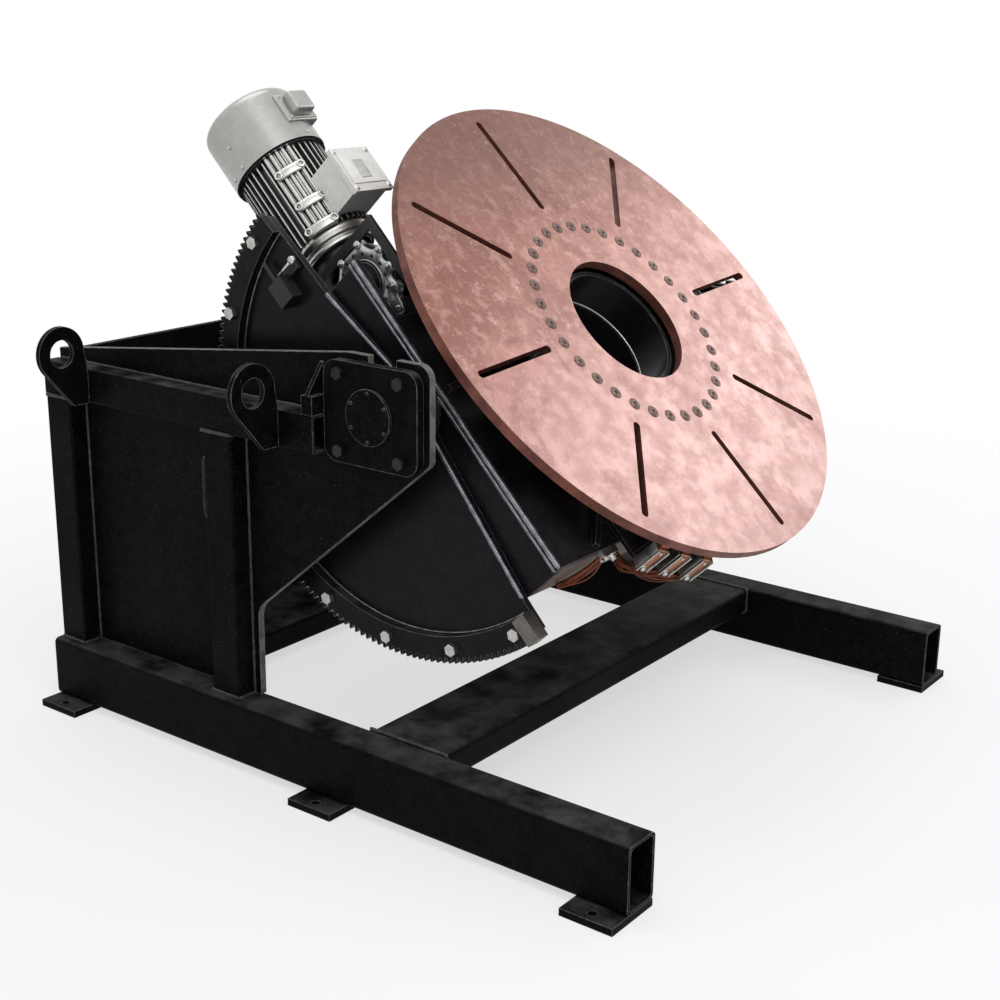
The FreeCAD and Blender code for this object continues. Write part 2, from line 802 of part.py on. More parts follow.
def shaft_bearings():
    """Flanged bearings for the cross shaft on the inner faces of the side plates."""
    units = []
    for side, sign in SIDES.items():
        barrel = rod(f"shaft_barrel_{side}", "shaft_bearing_radius", "x",
                     side_span(sign, f"{SKID_INNER} - shaft_bearing_long", SKID_INNER), SHAFT_CENTRE)
        flange = rod(f"shaft_flange_{side}", "shaft_bearing_flange", "x",
                     side_span(sign, f"{SKID_INNER} - shaft_bearing_flange_thick", SKID_INNER), SHAFT_CENTRE)
        bore = rod(f"shaft_bore_{side}", "shaft_radius + shaft_clear", "x",
                   side_span(sign, f"{SKID_INNER} - shaft_bearing_long", SKID_INNER), SHAFT_CENTRE)
        units.append(cut(f"shaft_unit_{side}", join(f"shaft_body_{side}", [barrel, flange]), [bore]))
    return group("shaft_bearings", units)


WORM_Z = f"{SHAFT_Z} - tilt_worm_drop"
TILT_FLANGE_Y = f"{SHAFT_Y} + tilt_reducer_radius + tilt_flange"


def tilt_reducer():
    """A worm reducer on the cross shaft, its worm below and across."""
    wheel = rod("tilt_wheel_case", "tilt_reducer_radius", "x", (REDUCER_LOW, REDUCER_HIGH), SHAFT_CENTRE)
    worm = rod("tilt_worm_case", "tilt_worm_radius", "y",
               (f"{SHAFT_Y} - tilt_reducer_radius", TILT_FLANGE_Y), ("tilt_reducer_x", WORM_Z))
    flange = rod("tilt_input_flange", "tilt_flange_radius", "y",
                 (f"{TILT_FLANGE_Y} - tilt_flange", TILT_FLANGE_Y), ("tilt_reducer_x", WORM_Z))
    bore = rod("tilt_reducer_bore", "shaft_radius + shaft_clear", "x", (REDUCER_LOW, REDUCER_HIGH),
               SHAFT_CENTRE)
    return cut("tilt_reducer", join("tilt_reducer_case", [wheel, worm, flange]), [bore])


def tilt_motor():
    """The tilt motor behind the reducer, with its fan cowl."""
    centre = ("tilt_reducer_x", WORM_Z)
    body = rod("tilt_motor_frame", "tilt_motor_radius", "y",
               (TILT_FLANGE_Y, f"{TILT_FLANGE_Y} + 0.7 * tilt_motor_long"), centre)
    cowl = rod("tilt_motor_cowl", "tilt_motor_radius + cowl_gap", "y",
               (f"{TILT_FLANGE_Y} + 0.7 * tilt_motor_long", f"{TILT_FLANGE_Y} + tilt_motor_long"), centre)
    lid = block("tilt_motor_box", ("tilt_reducer_x - tilt_motor_radius / 2",
                                   "tilt_reducer_x + tilt_motor_radius / 2"),
                (f"{TILT_FLANGE_Y} + tilt_flange", f"{TILT_FLANGE_Y} + tilt_motor_long / 2"),
                (WORM_Z, f"{WORM_Z} + tilt_motor_radius + terminal_lid"))
    return join("tilt_motor", [body, cowl, lid])


def tilt_bracket():
    """The plate that holds the tilt reducer on the rear cross member."""
    rear = f"{FRAME_HALF} - wall_thick"
    member_top = "foot_thick + member_tall"
    reach = "tilt_reducer_radius"
    corners = [
        (f"{rear} - rear_member_wide", member_top),
        (rear, member_top),
        (rear, f"{member_top} + {reach}"),
        (f"{SHAFT_Y} + 1.3 * {reach}", f"{SHAFT_Z} + {reach} / 2"),
        (f"{SHAFT_Y} + {reach} / 2", f"{SHAFT_Z} + {reach}"),
        (f"{SHAFT_Y} - {reach} / 2", f"{SHAFT_Z} + {reach}"),
        (f"{SHAFT_Y} - {reach}", f"{SHAFT_Z} - {reach}"),
    ]
    body = plate("tilt_bracket", "YZ_Plane", corners, "bracket_thick",
                 holes=[("shaft_radius + cowl_gap", SHAFT_CENTRE)])
    return at(body, REDUCER_HIGH)


# ---------------------------------------------------------------- the tilting head

HEAD_IN = "head_half - head_plate"
FRONT_BACK = "head_front - head_plate"


def slew_centre():
    """The rotation pinion's axis, at the gears' centre distance from the table's axis."""
    far = "ring_module * (ring_teeth + slew_pinion_teeth) / 2"
    v = "reducer_v - second_stage"
    x = f"-sqrt(({far}) * ({far}) - ({v} - table_v) * ({v} - table_v))"
    return x, v


def head_front_plate():
    """The plate under the slewing ring, open at one corner over the reducer, with holes for tube and shaft."""
    corners = [
        ("-head_half", "head_low"),
        ("head_half", "head_low"),
        ("head_half", "head_high"),
        ("-corner_inner", "head_high"),
        ("-corner_inner", "corner_low"),
        (f"-({HEAD_IN})", "corner_low"),
        (f"-({HEAD_IN})", "head_high"),
        ("-head_half", "head_high"),
    ]
    holes = [("tube_outer", ("0", "table_v")), ("slew_shaft_radius + cowl_gap", slew_centre())]
    return on_head(plate("head_front_plate", "XY_Plane", corners, "head_plate", holes=holes), n=FRONT_BACK)


def head_side_plate(side, sign):
    """A side wall of the head's box, inboard of the sector plate."""
    corners = [
        ("head_low", "head_back_low"),
        ("head_high", "head_back_high"),
        ("head_high", FRONT_BACK),
        ("head_low", FRONT_BACK),
    ]
    x = side_span(sign, f"{HEAD_IN} - head_plate", HEAD_IN)[0]
    return on_head(plate(f"head_side_{side}", "YZ_Plane", corners, "head_plate"), x)


def head_cross_plates():
    """The walls along the head's lower and upper edges, the upper one notched round the reducer."""
    inner = f"{HEAD_IN} - head_plate"
    low = block("head_low_slab", (f"-({inner})", inner), ("head_low", "head_low + head_plate"),
                ("head_back_low", FRONT_BACK))
    slab = block("head_high_slab", (f"-({inner})", inner), ("head_high - head_plate", "head_high"),
                 ("head_back_high", FRONT_BACK))
    notch = rod("head_end_notch", "reducer_radius + cowl_gap", "x",
                ("drive_x - reducer_outer_face - cowl_gap", "drive_x + reducer_inner_face + cowl_gap"),
                ("reducer_v", "motor_n + worm_offset"))
    corner = block("head_open_corner", (f"-({inner})", "drive_x - reducer_outer_face + cowl_gap"),
                   ("head_high - head_plate", "head_high"), ("bar_low_n", FRONT_BACK))
    room = rod("head_gearbox_room", "gearbox_radius + cowl_gap", "z",
               ("head_back_high", "gearbox_high + cowl_gap"),
               slew_centre())
    return on_head(group("head_cross_plates", [low, cut("head_high_plate", slab, [notch, corner, room])]))


def head_fittings():
    """A cable gland on the front plate and the earth clamp with its two bolts on the lower edge."""
    spot = ("gland_x", "gland_v")
    seat = rod("gland_seat", "gland_radius", "z", ("head_front", "head_front + gland_seat"), spot)
    nut = hexagon("gland_nut", "0.8 * gland_radius", "z",
                  ("head_front + gland_seat", "head_front + gland_tall"), spot)
    edge = "head_low - clamp_deep"
    bar = block("clamp_bar", ("clamp_x - clamp_long / 2", "clamp_x + clamp_long / 2"), (edge, "head_low"),
                ("clamp_n - clamp_tall / 2", "clamp_n + clamp_tall / 2"))
    bolts = []
    for k, shift in enumerate(("-clamp_long / 4", "clamp_long / 4")):
        place = (f"clamp_x + {shift}", "clamp_n")
        bolts.append(hexagon(f"clamp_bolt_{k}", "clamp_bolt", "y", (f"{edge} - clamp_bolt", edge), place))
    return on_head(group("head_fittings", [join("gland", [seat, nut]), join("clamp", [bar] + bolts)]))


def arc_between(radius, start, end):
    """An arc about the origin from one angle to another, in degrees, the short way round."""
    angles = [math.radians(start + (end - start) * share) for share in (0, 0.5, 1)]
    return Part.Arc(*[Vector(radius * math.cos(a), radius * math.sin(a), 0) for a in angles]).toShape()


def sector_plate(side, sign):
    """The half-round plate that carries a gear segment, its front edge a shallow V."""
    radius = number("sector_radius")
    edge = math.degrees(math.asin(number("sector_end_n") / radius))
    arc = arc_between(radius, edge, -180 - edge)
    ends = [vertex.Point for vertex in arc.Vertexes]
    bends = [Vector(number("head_low"), number("head_back_low"), 0),
             Vector(number("sector_apex_v"), number("sector_apex_n"), 0),
             Vector(number("head_high"), number("head_back_high"), 0)]
    face = Part.Face(Part.Wire([arc] + Part.makePolygon([ends[1]] + bends + [ends[0]]).Edges))
    shape = face.extrude(Vector(0, 0, number("head_plate")))
    shape = shape.cut(segment_bolt_holes("head_plate"))
    return computed(f"sector_plate_{side}", shape,
                    profile_placement(side_span(sign, HEAD_IN, "head_half")[0]))


def profile_placement(x):
    """Stand a (v, n) profile drawn on XY up on the head, its thickness along X from x."""
    stand = Placement(Vector(number(x), 0, 0), Rotation(Vector(1, 1, 1), 120))
    return head_placement().multiply(stand)


def polar(radius, angle):
    """A point at a radius and an angle, as a pair of formulas."""
    return f"{radius} * cos({angle})", f"{radius} * sin({angle})"


def segment_bolt_angles():
    """The gear segment's bolt angles on the head, as formulas."""
    room = number("segment_bolt_start") - number("segment_end")
    count = int(room // number("segment_bolt_step")) + 1
    return [f"segment_bolt_start - {k} * segment_bolt_step" for k in range(count)]


def segment_bolt_holes(thick):
    """Drills for the gear segment's bolts through a plate drawn on XY."""
    radius = number("segment_bolt_shank + screw_clear")
    centres = [polar("segment_bolt_radius", angle) for angle in segment_bolt_angles()]
    return [Part.makeCylinder(radius, number(thick), Vector(number(a), number(b), 0)) for a, b in centres]


def gear_segment(side, sign):
    """A toothed half ring; a tooth space faces the pinion on the cross shaft."""
    module, teeth = number("segment_module"), number("segment_teeth")
    step = 360 / teeth
    mesh = number("shaft_angle") - number("tilt_rest")
    start, end = number("segment_start"), number("segment_end")
    first = round((end - mesh) / step)
    last = round((start - mesh) / step)
    root = module * teeth / 2 - 1.25 * module
    points = []
    for k in range(first, last):
        points += tooth_points(module, teeth, math.radians(mesh + (k + 0.5) * step), number("backlash"))
    low, high = mesh + first * step, mesh + last * step
    points = [ring_point(root, low)] + points + [ring_point(root, high)]
    inner = number("segment_inner")
    back = arc_between(inner, high, low)
    outline = Part.makePolygon([ring_point(inner, low)] + points + [ring_point(inner, high)]).Edges
    shape = Part.Face(Part.Wire(outline + [back])).extrude(Vector(0, 0, number("segment_thick")))
    shape = shape.cut(segment_bolt_holes("segment_thick"))
    x = side_span(sign, "head_half", "head_half + segment_thick")[0]
    return computed(f"gear_segment_{side}", shape, profile_placement(x))


def ring_point(radius, degrees):
    """A point at a radius and an angle."""
    return Vector(radius * math.cos(math.radians(degrees)), radius * math.sin(math.radians(degrees)), 0)


def segment_bolts():
    """Hex bolts and nuts that hold the gear segments to the sector plates."""
    bolts = []
    face = "head_half + segment_thick"
    for side, sign in SIDES.items():
        for k, angle in enumerate(segment_bolt_angles()):
            name = f"segment_bolt_{side}_{k}"
            place = polar("segment_bolt_radius", angle)
            head = hexagon(f"{name}_head", "1.75 * segment_bolt_shank", "x",
                           side_span(sign, face, f"{face} + 1.3 * segment_bolt_shank"), place)
            shank = rod(f"{name}_shank", "segment_bolt_shank", "x", side_span(sign, HEAD_IN, face), place)
            nut = hexagon(f"{name}_nut", "1.75 * segment_bolt_shank", "x",
                          side_span(sign, f"{HEAD_IN} - 1.6 * segment_bolt_shank", HEAD_IN), place)
            bolts.append(join(name, [head, shank, nut]))
    return on_head(group("segment_bolts", bolts))


def stop_blocks():
    """End stops on the gear segments' lower ends."""
    blocks = []
    for side, sign in SIDES.items():
        x = side_span(sign, "head_half + segment_thick", "head_half + segment_thick + stop_thick")
        blocks.append(block(f"stop_{side}", x, ("-stop_outer", "-stop_inner"), ("stop_low", "stop_high")))
    return on_head(group("stop_blocks", blocks))


def trunnions():
    """The flanged journals on the tilt axis."""
    pieces = []
    for side, sign in SIDES.items():
        flange = rod(f"trunnion_flange_{side}", "trunnion_flange_radius", "x",
                     side_span(sign, "head_half", "head_half + trunnion_flange"))
        journal = rod(f"trunnion_journal_{side}", "journal_radius", "x",
                      side_span(sign, "head_half + trunnion_flange",
                                f"{PLATE_OUTER} + bearing_thick - brush_gap"))
        pieces.append(join(f"trunnion_{side}", [flange, journal]))
    return on_head(group("trunnions", pieces))


# ---------------------------------------------------------------- slewing ring and table

TABLE_BACK = "table_face - table_thick"
RING_LOW = "table_face - table_thick - ring_tall"
INNER_LOW = "table_face - table_thick - ring_tall - ring_step"
INNER_HIGH = "table_face - table_thick - ring_step"
BALL_N = "table_face - table_thick - (ring_tall + ring_step) / 2"
BALL_CIRCLE = "(ring_outer_bore + ring_inner_outer) / 2"


def pedestal():
    """The ring between the front plate and the slewing ring."""
    middle = (0, "table_v")
    tube = pipe("pedestal_tube", "ring_inner_outer - ring_step", "pedestal_inner", "z",
                ("head_front", INNER_LOW), middle)
    return on_head(group("pedestal", [tube]))


def through_tube():
    """The tube for cables through the middle of the head and the table's bore."""
    tube = pipe("through_tube_wall", "tube_outer - screw_clear", "tube_inner", "z",
                (FRONT_BACK, f"table_face - tube_below_face"), (0, "table_v"))
    return on_head(group("through_tube", [tube]))


def race(name):
    """The ring-shaped race that the balls run in."""
    item = DOC.addObject("Part::Torus", name)
    bind(item, Radius1=BALL_CIRCLE, Radius2="ball_radius + ball_clear")
    return at(item, 0, "table_v", BALL_N)


def slewing_inner_ring():
    """The fixed inner ring of the slewing bearing."""
    ring = pipe("inner_ring_blank", "ring_inner_outer", "ring_inner_bore", "z", (INNER_LOW, INNER_HIGH),
                (0, "table_v"))
    return on_head(cut("slewing_inner_ring", ring, [race("inner_race")]))


def slewing_balls():
    """Balls between the two rings."""
    balls = []
    count = int(number("ball_count"))
    for k in range(count):
        item = DOC.addObject("Part::Sphere", f"ball_{k}")
        bind(item, Radius="ball_radius")
        x, y = polar(f"({BALL_CIRCLE})", f"360 * {k} / {count}")
        balls.append(at(item, x, f"table_v + {y}", BALL_N))
    return on_head(group("slewing_balls", balls))


def slewing_gear():
    """The outer ring with external teeth, which turns with the table; a space faces the pinion."""
    x, v = slew_centre()
    toward = math.degrees(math.atan2(number(v) - number("table_v"), number(x)))
    teeth = number("ring_teeth")
    shape = gear_solid(number("ring_module"), teeth, toward + 180 / teeth, number("backlash"),
                       number("ring_tall"), number("ring_outer_bore"))
    middle = Vector(0, 0, number(BALL_N) - number(RING_LOW))
    tools = [Part.makeTorus(number(BALL_CIRCLE), number("ball_radius + ball_clear"), middle)]
    depth = number("screw_long - table_thick")
    for angle in screw_angles():
        a, b = polar("screw_at", angle)
        place = Vector(number(a), number(b), number("ring_tall") - depth)
        tools.append(Part.makeCylinder(number("screw_radius + screw_clear"), depth, place))
    stand = Placement(Vector(0, number("table_v"), number(RING_LOW)), Rotation())
    return computed("slewing_gear", shape.cut(tools), head_placement().multiply(stand))


def screw_angles():
    """The table screws' angles, as formulas."""
    count = int(number("screw_count"))
    return [f"table_phase + 360 * {k} / {count}" for k in range(count)]


def table_plate():
    """The face plate: bore, radial slots and countersunk screw holes."""
    body = DOC.addObject("PartDesign::Body", "table_disc")
    sketch = sketch_on(body, "XY_Plane")
    draw_circle(sketch, "table_radius")
    draw_circle(sketch, "table_bore")
    pad(body, sketch, "table_thick")
    tools = []
    thick = ("0", "table_thick")
    for k in range(int(number("slot_count"))):
        name = f"slot_{k}"
        bar = block(f"{name}_bar", ("slot_start + slot_wide / 2", "slot_end - slot_wide / 2"),
                    ("-slot_wide / 2", "slot_wide / 2"), thick)
        ends = [rod(f"{name}_inner", "slot_wide / 2", "z", thick, ("slot_start + slot_wide / 2", "0")),
                rod(f"{name}_outer", "slot_wide / 2", "z", thick, ("slot_end - slot_wide / 2", "0"))]
        slot = join(name, [bar] + ends)
        slot.Placement = Placement(Vector(), Rotation(Vector(0, 0, 1), 1))
        slot.setExpression("Placement.Rotation.Angle", formula(f"table_phase + 360 * {k} / slot_count"))
        tools.append(slot)
    for k, angle in enumerate(screw_angles()):
        centre = polar("screw_at", angle)
        tools.append(rod(f"screw_hole_{k}", "screw_radius + screw_clear", "z", thick, centre))
        tools.append(taper(f"screw_sink_{k}", "screw_radius + screw_clear",
                           "screw_head_radius + screw_clear", "z",
                           ("table_thick - screw_head_tall", "table_thick"), centre))
    return on_head(cut("table_plate", body, tools), v="table_v", n=TABLE_BACK)


def table_screws():
    """Countersunk screws that hold the table to the slewing gear."""
    screws = []
    for k, angle in enumerate(screw_angles()):
        centre = polar("screw_at", angle)
        head = taper(f"screw_head_{k}", "screw_radius", "screw_head_radius", "z", ("-screw_head_tall", "0"),
                     centre)
        shank = rod(f"screw_shank_{k}", "screw_radius", "z",
                    ("screw_clear - screw_long", "-screw_head_tall"), centre)
        socket = hexagon(f"screw_socket_{k}", "0.6 * screw_radius", "z", ("-0.5 * screw_head_tall", "0"),
                         centre)
        screws.append(cut(f"screw_{k}", join(f"screw_body_{k}", [head, shank]), [socket]))
    return on_head(group("table_screws", screws), v="table_v", n="table_face")


def front_ribs():
    """Radial ribs on the front plate round the pedestal."""
    ribs = []
    inner = "ring_inner_outer - ring_step + screw_clear"
    reach = {"lower_left": -135, "lower_right": -45, "upper_right": 45, "left": 180}
    for label, angle in reach.items():
        outer = RIB_REACH[label]
        foot = "head_front"
        corners = [(inner, foot), (outer, foot), (outer, f"{foot} + rib_outer_tall"),
                   (inner, f"{foot} + rib_inner_tall")]
        rib = plate(f"rib_{label}", "XZ_Plane", corners, "rib_thick")
        turn = Rotation(Vector(0, 0, 1), angle)
        rib.Placement = Placement(Vector(), turn)
        at(rib, f"-sin({angle}) * rib_thick / 2", f"table_v + cos({angle}) * rib_thick / 2")
        ribs.append(rib)
    return on_head(group("front_ribs", ribs))


RIB_REACH = {
    "lower_left": "(table_v - head_low) / sin(45) - head_plate",
    "lower_right": "(table_v - head_low) / sin(45) - head_plate",
    "upper_right": "(head_high - table_v) / sin(45) - head_plate",
    "left": "head_half - head_plate",
}


# ---------------------------------------------------------------- rotation drive

MOTOR_LINE = ("drive_x", "motor_n")
WHEEL_N = "motor_n + worm_offset"
MOTOR_END = "motor_start_v + motor_fins_long"
COWL_START = "motor_start_v + motor_fins_long + cowl_gap"
COWL_END = "motor_start_v + motor_fins_long + cowl_gap + cowl_long"


def slew_pinion():
    """The pinion that turns the slewing gear, with its shaft down into the gearbox."""
    x, v = slew_centre()
    toward = math.degrees(math.atan2(number("table_v") - number(v), -number(x)))
    wide = number("slew_pinion_wide")
    low = number(RING_LOW) + (number("ring_tall") - wide) / 2
    gear = gear_solid(number("ring_module"), number("slew_pinion_teeth"), toward, number("backlash"), wide, 1)
    gear.translate(Vector(0, 0, low))
    start = number("slew_shaft_low")
    shaft = Part.makeCylinder(number("slew_shaft_radius"), low + wide - start, Vector(0, 0, start))
    stand = Placement(Vector(number(x), number(v), 0), Rotation())
    return computed("slew_pinion", gear.fuse(shaft).removeSplitter(), head_placement().multiply(stand))


def rotation_gearbox():
    """The second worm stage behind the front plate, with the neck that holds the pinion's shaft."""
    centre = slew_centre()
    wheel = rod("gearbox_case", "gearbox_radius", "z", ("gearbox_low", "gearbox_high"), centre)
    neck = rod("gearbox_neck", "neck_radius", "z", ("gearbox_high", FRONT_BACK), centre)
    flange = rod("gearbox_flange", "neck_flange_radius", "z", (f"{FRONT_BACK} - neck_flange", FRONT_BACK),
                 centre)
    bore = rod("gearbox_bore", "slew_shaft_radius + shaft_clear", "z",
               ("slew_shaft_low - brush_gap", FRONT_BACK), centre)
    flat = block("gearbox_flange_flat", ("drive_x - neck_flange_radius", "0"),
                 ("head_high - head_plate", "head_high + neck_flange_radius"),
                 ("gearbox_high", FRONT_BACK))
    drum = rod("gearbox_drum_seat", "reducer_radius + brush_gap", "x",
               ("drive_x - reducer_outer_face", "drive_x + reducer_inner_face"), ("reducer_v", WHEEL_N))
    worm = rod("gearbox_worm_seat", "worm_tube_radius + brush_gap", "y",
               ("worm_tube_start - brush_gap", "input_flange_v"), MOTOR_LINE)
    body = cut("gearbox_body", join("gearbox_casting", [wheel, neck, flange]), [bore, flat, drum, worm])
    return on_head(group("rotation_gearbox", [body]))


def rotation_reducer():
    """The first worm stage: a drum with a flanged face, a worm tube, a bell for the motor and two flat bars."""
    outer = "drive_x - reducer_outer_face"
    face = f"{outer} - reducer_face"
    drum = rod("reducer_drum", "reducer_radius", "x",
               (outer, "drive_x + reducer_inner_face"), ("reducer_v", WHEEL_N))
    ring = rod("reducer_face_ring", "reducer_face_radius", "x", (face, outer),
               ("reducer_v", "reducer_face_n"))
    foot = rod("reducer_foot", "reducer_foot_radius", "x", (face, outer),
               ("reducer_foot_v", "reducer_foot_n"))
    cover = rod("reducer_cover", "reducer_cover_radius", "x", (f"{face} - reducer_cover", face),
                ("reducer_v", "reducer_face_n"))
    bar = (f"{face} - bar_thick", face)
    upright = block("reducer_upright_bar", bar, ("bar_high_v - bar_wide", "bar_high_v"),
                    ("bar_low_n", "bar_high_n"))
    level = block("reducer_level_bar", bar, ("corner_low", "bar_high_v"),
                  ("bar_high_n - bar_wide", "bar_high_n"))
    tube = rod("reducer_tube", "worm_tube_radius", "y", ("worm_tube_start", "input_flange_v"), MOTOR_LINE)
    flange = rod("reducer_flange", "input_flange_radius", "y",
                 ("input_flange_v", "input_flange_v + input_flange"),
                 MOTOR_LINE)
    bell = rod("reducer_bell", "bell_radius", "y",
               ("input_flange_v + input_flange", "motor_start_v - motor_flange"),
               MOTOR_LINE)
    parts = [drum, ring, foot, cover, upright, level, tube, flange, bell]
    return on_head(join("rotation_reducer", parts))


def rotation_motor():
    """The finned motor frame with its mounting flange."""
    flange = rod("motor_flange_disc", "motor_flange_radius", "y",
                 ("motor_start_v - motor_flange", "motor_start_v"),
                 MOTOR_LINE)
    drum = rod("motor_drum", "motor_radius", "y", ("motor_start_v", MOTOR_END), MOTOR_LINE)
    fins = []
    count = int(number("fin_count"))
    for k in range(count):
        fin = block(f"fin_{k}", ("motor_radius - cowl_gap", "fin_tip_radius"), ("motor_start_v", MOTOR_END),
                    ("-fin_thick / 2", "fin_thick / 2"))
        turned = group(f"fin_turned_{k}", [fin])
        turned.Placement = Placement(Vector(), Rotation(Vector(0, 1, 0), (k + 0.5) * 360 / count))
        fins.append(at(turned, "drive_x", 0, "motor_n"))
    collar = rod("motor_collar", "motor_radius", "y", (MOTOR_END, COWL_START), MOTOR_LINE)
    return on_head(join("rotation_motor", [flange, drum, collar] + fins))


def motor_cowl():
    """The fan cowl: a turned cup with a rounded end."""
    body = DOC.addObject("PartDesign::Body", "cowl_cup")
    sketch = sketch_on(body, "XY_Plane")
    draw_circle(sketch, "cowl_radius")
    last = pad(body, sketch, "cowl_long")
    DOC.recompute()
    far = number("cowl_long")
    names = [f"Edge{i}" for i, edge in enumerate(last.Shape.Edges, start=1)
             if len(edge.Vertexes) == 1 and abs(edge.Vertexes[0].Point.z - far) < 0.01]
    fillet = body.newObject("PartDesign::Fillet", "cowl_round_edge")
    fillet.Base = (last, names)
    bind(fillet, Radius="cowl_round")
    body.Placement.Rotation = TURNS["y"]
    at(body, "drive_x", COWL_START, "motor_n")
    return on_head(group("motor_cowl", [body]))


def terminal_box():
    """The terminal box on the motor's side, with its lid."""
    x = ("drive_x - terminal_wide / 2", "drive_x + terminal_wide / 2")
    v = ("terminal_v - terminal_long / 2", "terminal_v + terminal_long / 2")
    lid = block("terminal_lid_slab", x, v, ("terminal_top - terminal_lid", "terminal_top"))
    body = block("terminal_body", (f"{x[0]} + terminal_inset", f"{x[1]} - terminal_inset"),
                 (f"{v[0]} + terminal_inset", f"{v[1]} - terminal_inset"),
                 ("motor_n + fin_tip_radius - terminal_lid", "terminal_top - terminal_lid"))
    hollow = rod("terminal_seat", "fin_tip_radius + brush_gap", "y", ("motor_start_v", MOTOR_END), MOTOR_LINE)
    return on_head(group("terminal_box", [join("terminal_case",
                                               [cut("terminal_foot", body, [hollow]), lid])]))


def limit_switch():
    """The tilt limit switch on the left sector plate."""
    x = ("-head_half - switch_deep", "-head_half")
    case = block("switch_case", x, ("switch_v", "switch_v + switch_long"),
                 ("switch_n", "switch_n + switch_tall"))
    bar = block("switch_bracket", ("-head_half - switch_bar", "-head_half"),
                ("switch_v + switch_long - switch_bar", "switch_v + switch_long + switch_bar"),
                ("switch_n + switch_tall - switch_bar", "switch_n + switch_tall + 3 * switch_bar"))
    lever = rod("switch_rod", "switch_rod_radius", "y",
                ("switch_v + switch_long - switch_rod_radius", "switch_v + switch_long + switch_rod_long"),
                ("-head_half - switch_deep / 2", "switch_n + switch_tall / 3"))
    return on_head(join("limit_switch", [case, bar, lever]))


# ---------------------------------------------------------------- earth brushes

BRUSHES = range(3)


def brush_point(radial, along):
    """A point on the head from the table's centre: outwards to the brushes, then along their row."""
    x = f"({radial}) * cos(brush_angle) - ({along}) * sin(brush_angle)"
    v = f"table_v + ({radial}) * sin(brush_angle) + ({along}) * cos(brush_angle)"
    return x, v


def turned_block(name, radial, along, low, high):
    """A block square to the row of brushes, from two spans and its low and high ends."""
    slab = block(f"{name}_slab", radial, along, ("0", f"({high}) - ({low})"))
    turned = group(name, [slab])
    turned.Placement = Placement(Vector(), Rotation(Vector(0, 0, 1), 1))
    turned.setExpression("Placement.Rotation.Angle", formula("360 + brush_angle"))
    return at(turned, 0, "table_v", low)


def around(middle, wide):
    """A span of a width about a middle."""
    return f"({middle}) - ({wide}) / 2", f"({middle}) + ({wide}) / 2"


def row_place(k):
    """Brush k's place along the row."""
    return f"{k - 1} * brush_pitch"


HOLDER_BACK = "brush_radius - holder_deep / 2"
ROW_HALF = "brush_pitch + holder_wide / 2"


def brush_bracket():
    """An angle on the front plate's lower edge: a foot with two bolts and a riser for the holders."""
    near, far = brush_point(HOLDER_BACK, f"-({ROW_HALF})"), brush_point(HOLDER_BACK, ROW_HALF)
    lap = "head_low + earth_lap"
    foot = plate("earth_foot", "XY_Plane", [near, far, (far[0], lap), (near[0], lap)], "earth_plate")
    at(foot, 0, 0, "head_front")
    riser = turned_block("earth_riser", (f"{HOLDER_BACK} - earth_plate", HOLDER_BACK),
                         (f"-({ROW_HALF})", ROW_HALF),
                         "head_front + earth_plate / 2", "holder_high - earth_plate")
    top = "head_front + earth_plate"
    bolts = []
    for k, x in enumerate((f"{near[0]} + holder_wide", f"{far[0]} - holder_wide")):
        bolts.append(hexagon(f"earth_bolt_{k}", "1.5 * clamp_bolt", "z", (top, f"{top} + clamp_bolt"),
                             (x, "head_low + earth_lap / 2")))
    return on_head(join("brush_bracket", [foot, riser] + bolts))


def brush_holders():
    """Three brass holders, each with a pocket for its brush."""
    holders = []
    for k in BRUSHES:
        place = row_place(k)
        outer = turned_block(f"holder_case_{k}", around("brush_radius", "holder_deep"),
                             around(place, "holder_wide"),
                             "holder_low", "holder_high")
        pocket = turned_block(f"holder_pocket_{k}", around("brush_radius", "brush_deep + 2 * brush_gap"),
                              around(place, "brush_wide + 2 * brush_gap"),
                              "brush_back - brush_travel - brush_gap", "holder_high")
        holders.append(cut(f"holder_{k}", outer, [pocket]))
    return on_head(group("brush_holders", holders))


def earth_braids():
    """Copper braids from the holders' lower ends to the clamp, and a strap from the clamp."""
    radius = number("braid_radius")
    inside = 3 * radius
    low = number("head_low")
    clamp_end = number("clamp_x + clamp_long / 2")
    leads = []
    for k in BRUSHES:
        x, v = brush_point("brush_radius + holder_deep / 5", row_place(k))
        end = Vector(number(x), number(v), number("holder_low") + inside)
        start = Vector(clamp_end - inside, low - number("clamp_deep / 2"),
                       number("clamp_n") + (k - 1) * 1.6 * radius)
        drop = Vector(0, -0.4, -1) * number("braid_drop") * (1 + 0.3 * k)
        leads.append(braid(start, (start + end) * 0.5 + drop, end, radius))
    far = number("table_radius")
    clamp_side = Part.makeBox(far, 2 * far, 2 * far, Vector(clamp_end - far, -2 * far, -far))
    holder_side = Part.makeBox(2 * far, 2 * far, far, Vector(-2 * far, -2 * far, number("holder_low")))
    leads = [lead.cut([clamp_side, holder_side]) for lead in leads]
    start = Vector(clamp_end - number("clamp_long"), low - number("clamp_deep / 2"), number("clamp_n"))
    end = Vector(start.x - number("clamp_long"), low - 1.5 * radius, number("strap_end_n"))
    strap = braid(start + Vector(inside, 0, 0), (start + end) * 0.5 + Vector(-2, -2, 0) * radius, end,
                  1.2 * radius)
    other_side = Part.makeBox(far, 2 * far, 2 * far, Vector(start.x, -2 * far, -far))
    plate_side = Part.makeBox(2 * far, 2 * far, 2 * far, Vector(-2 * far, low, -far))
    leads.append(strap.cut([other_side, plate_side]))
    return computed("earth_braids", Part.makeCompound(leads), head_placement())


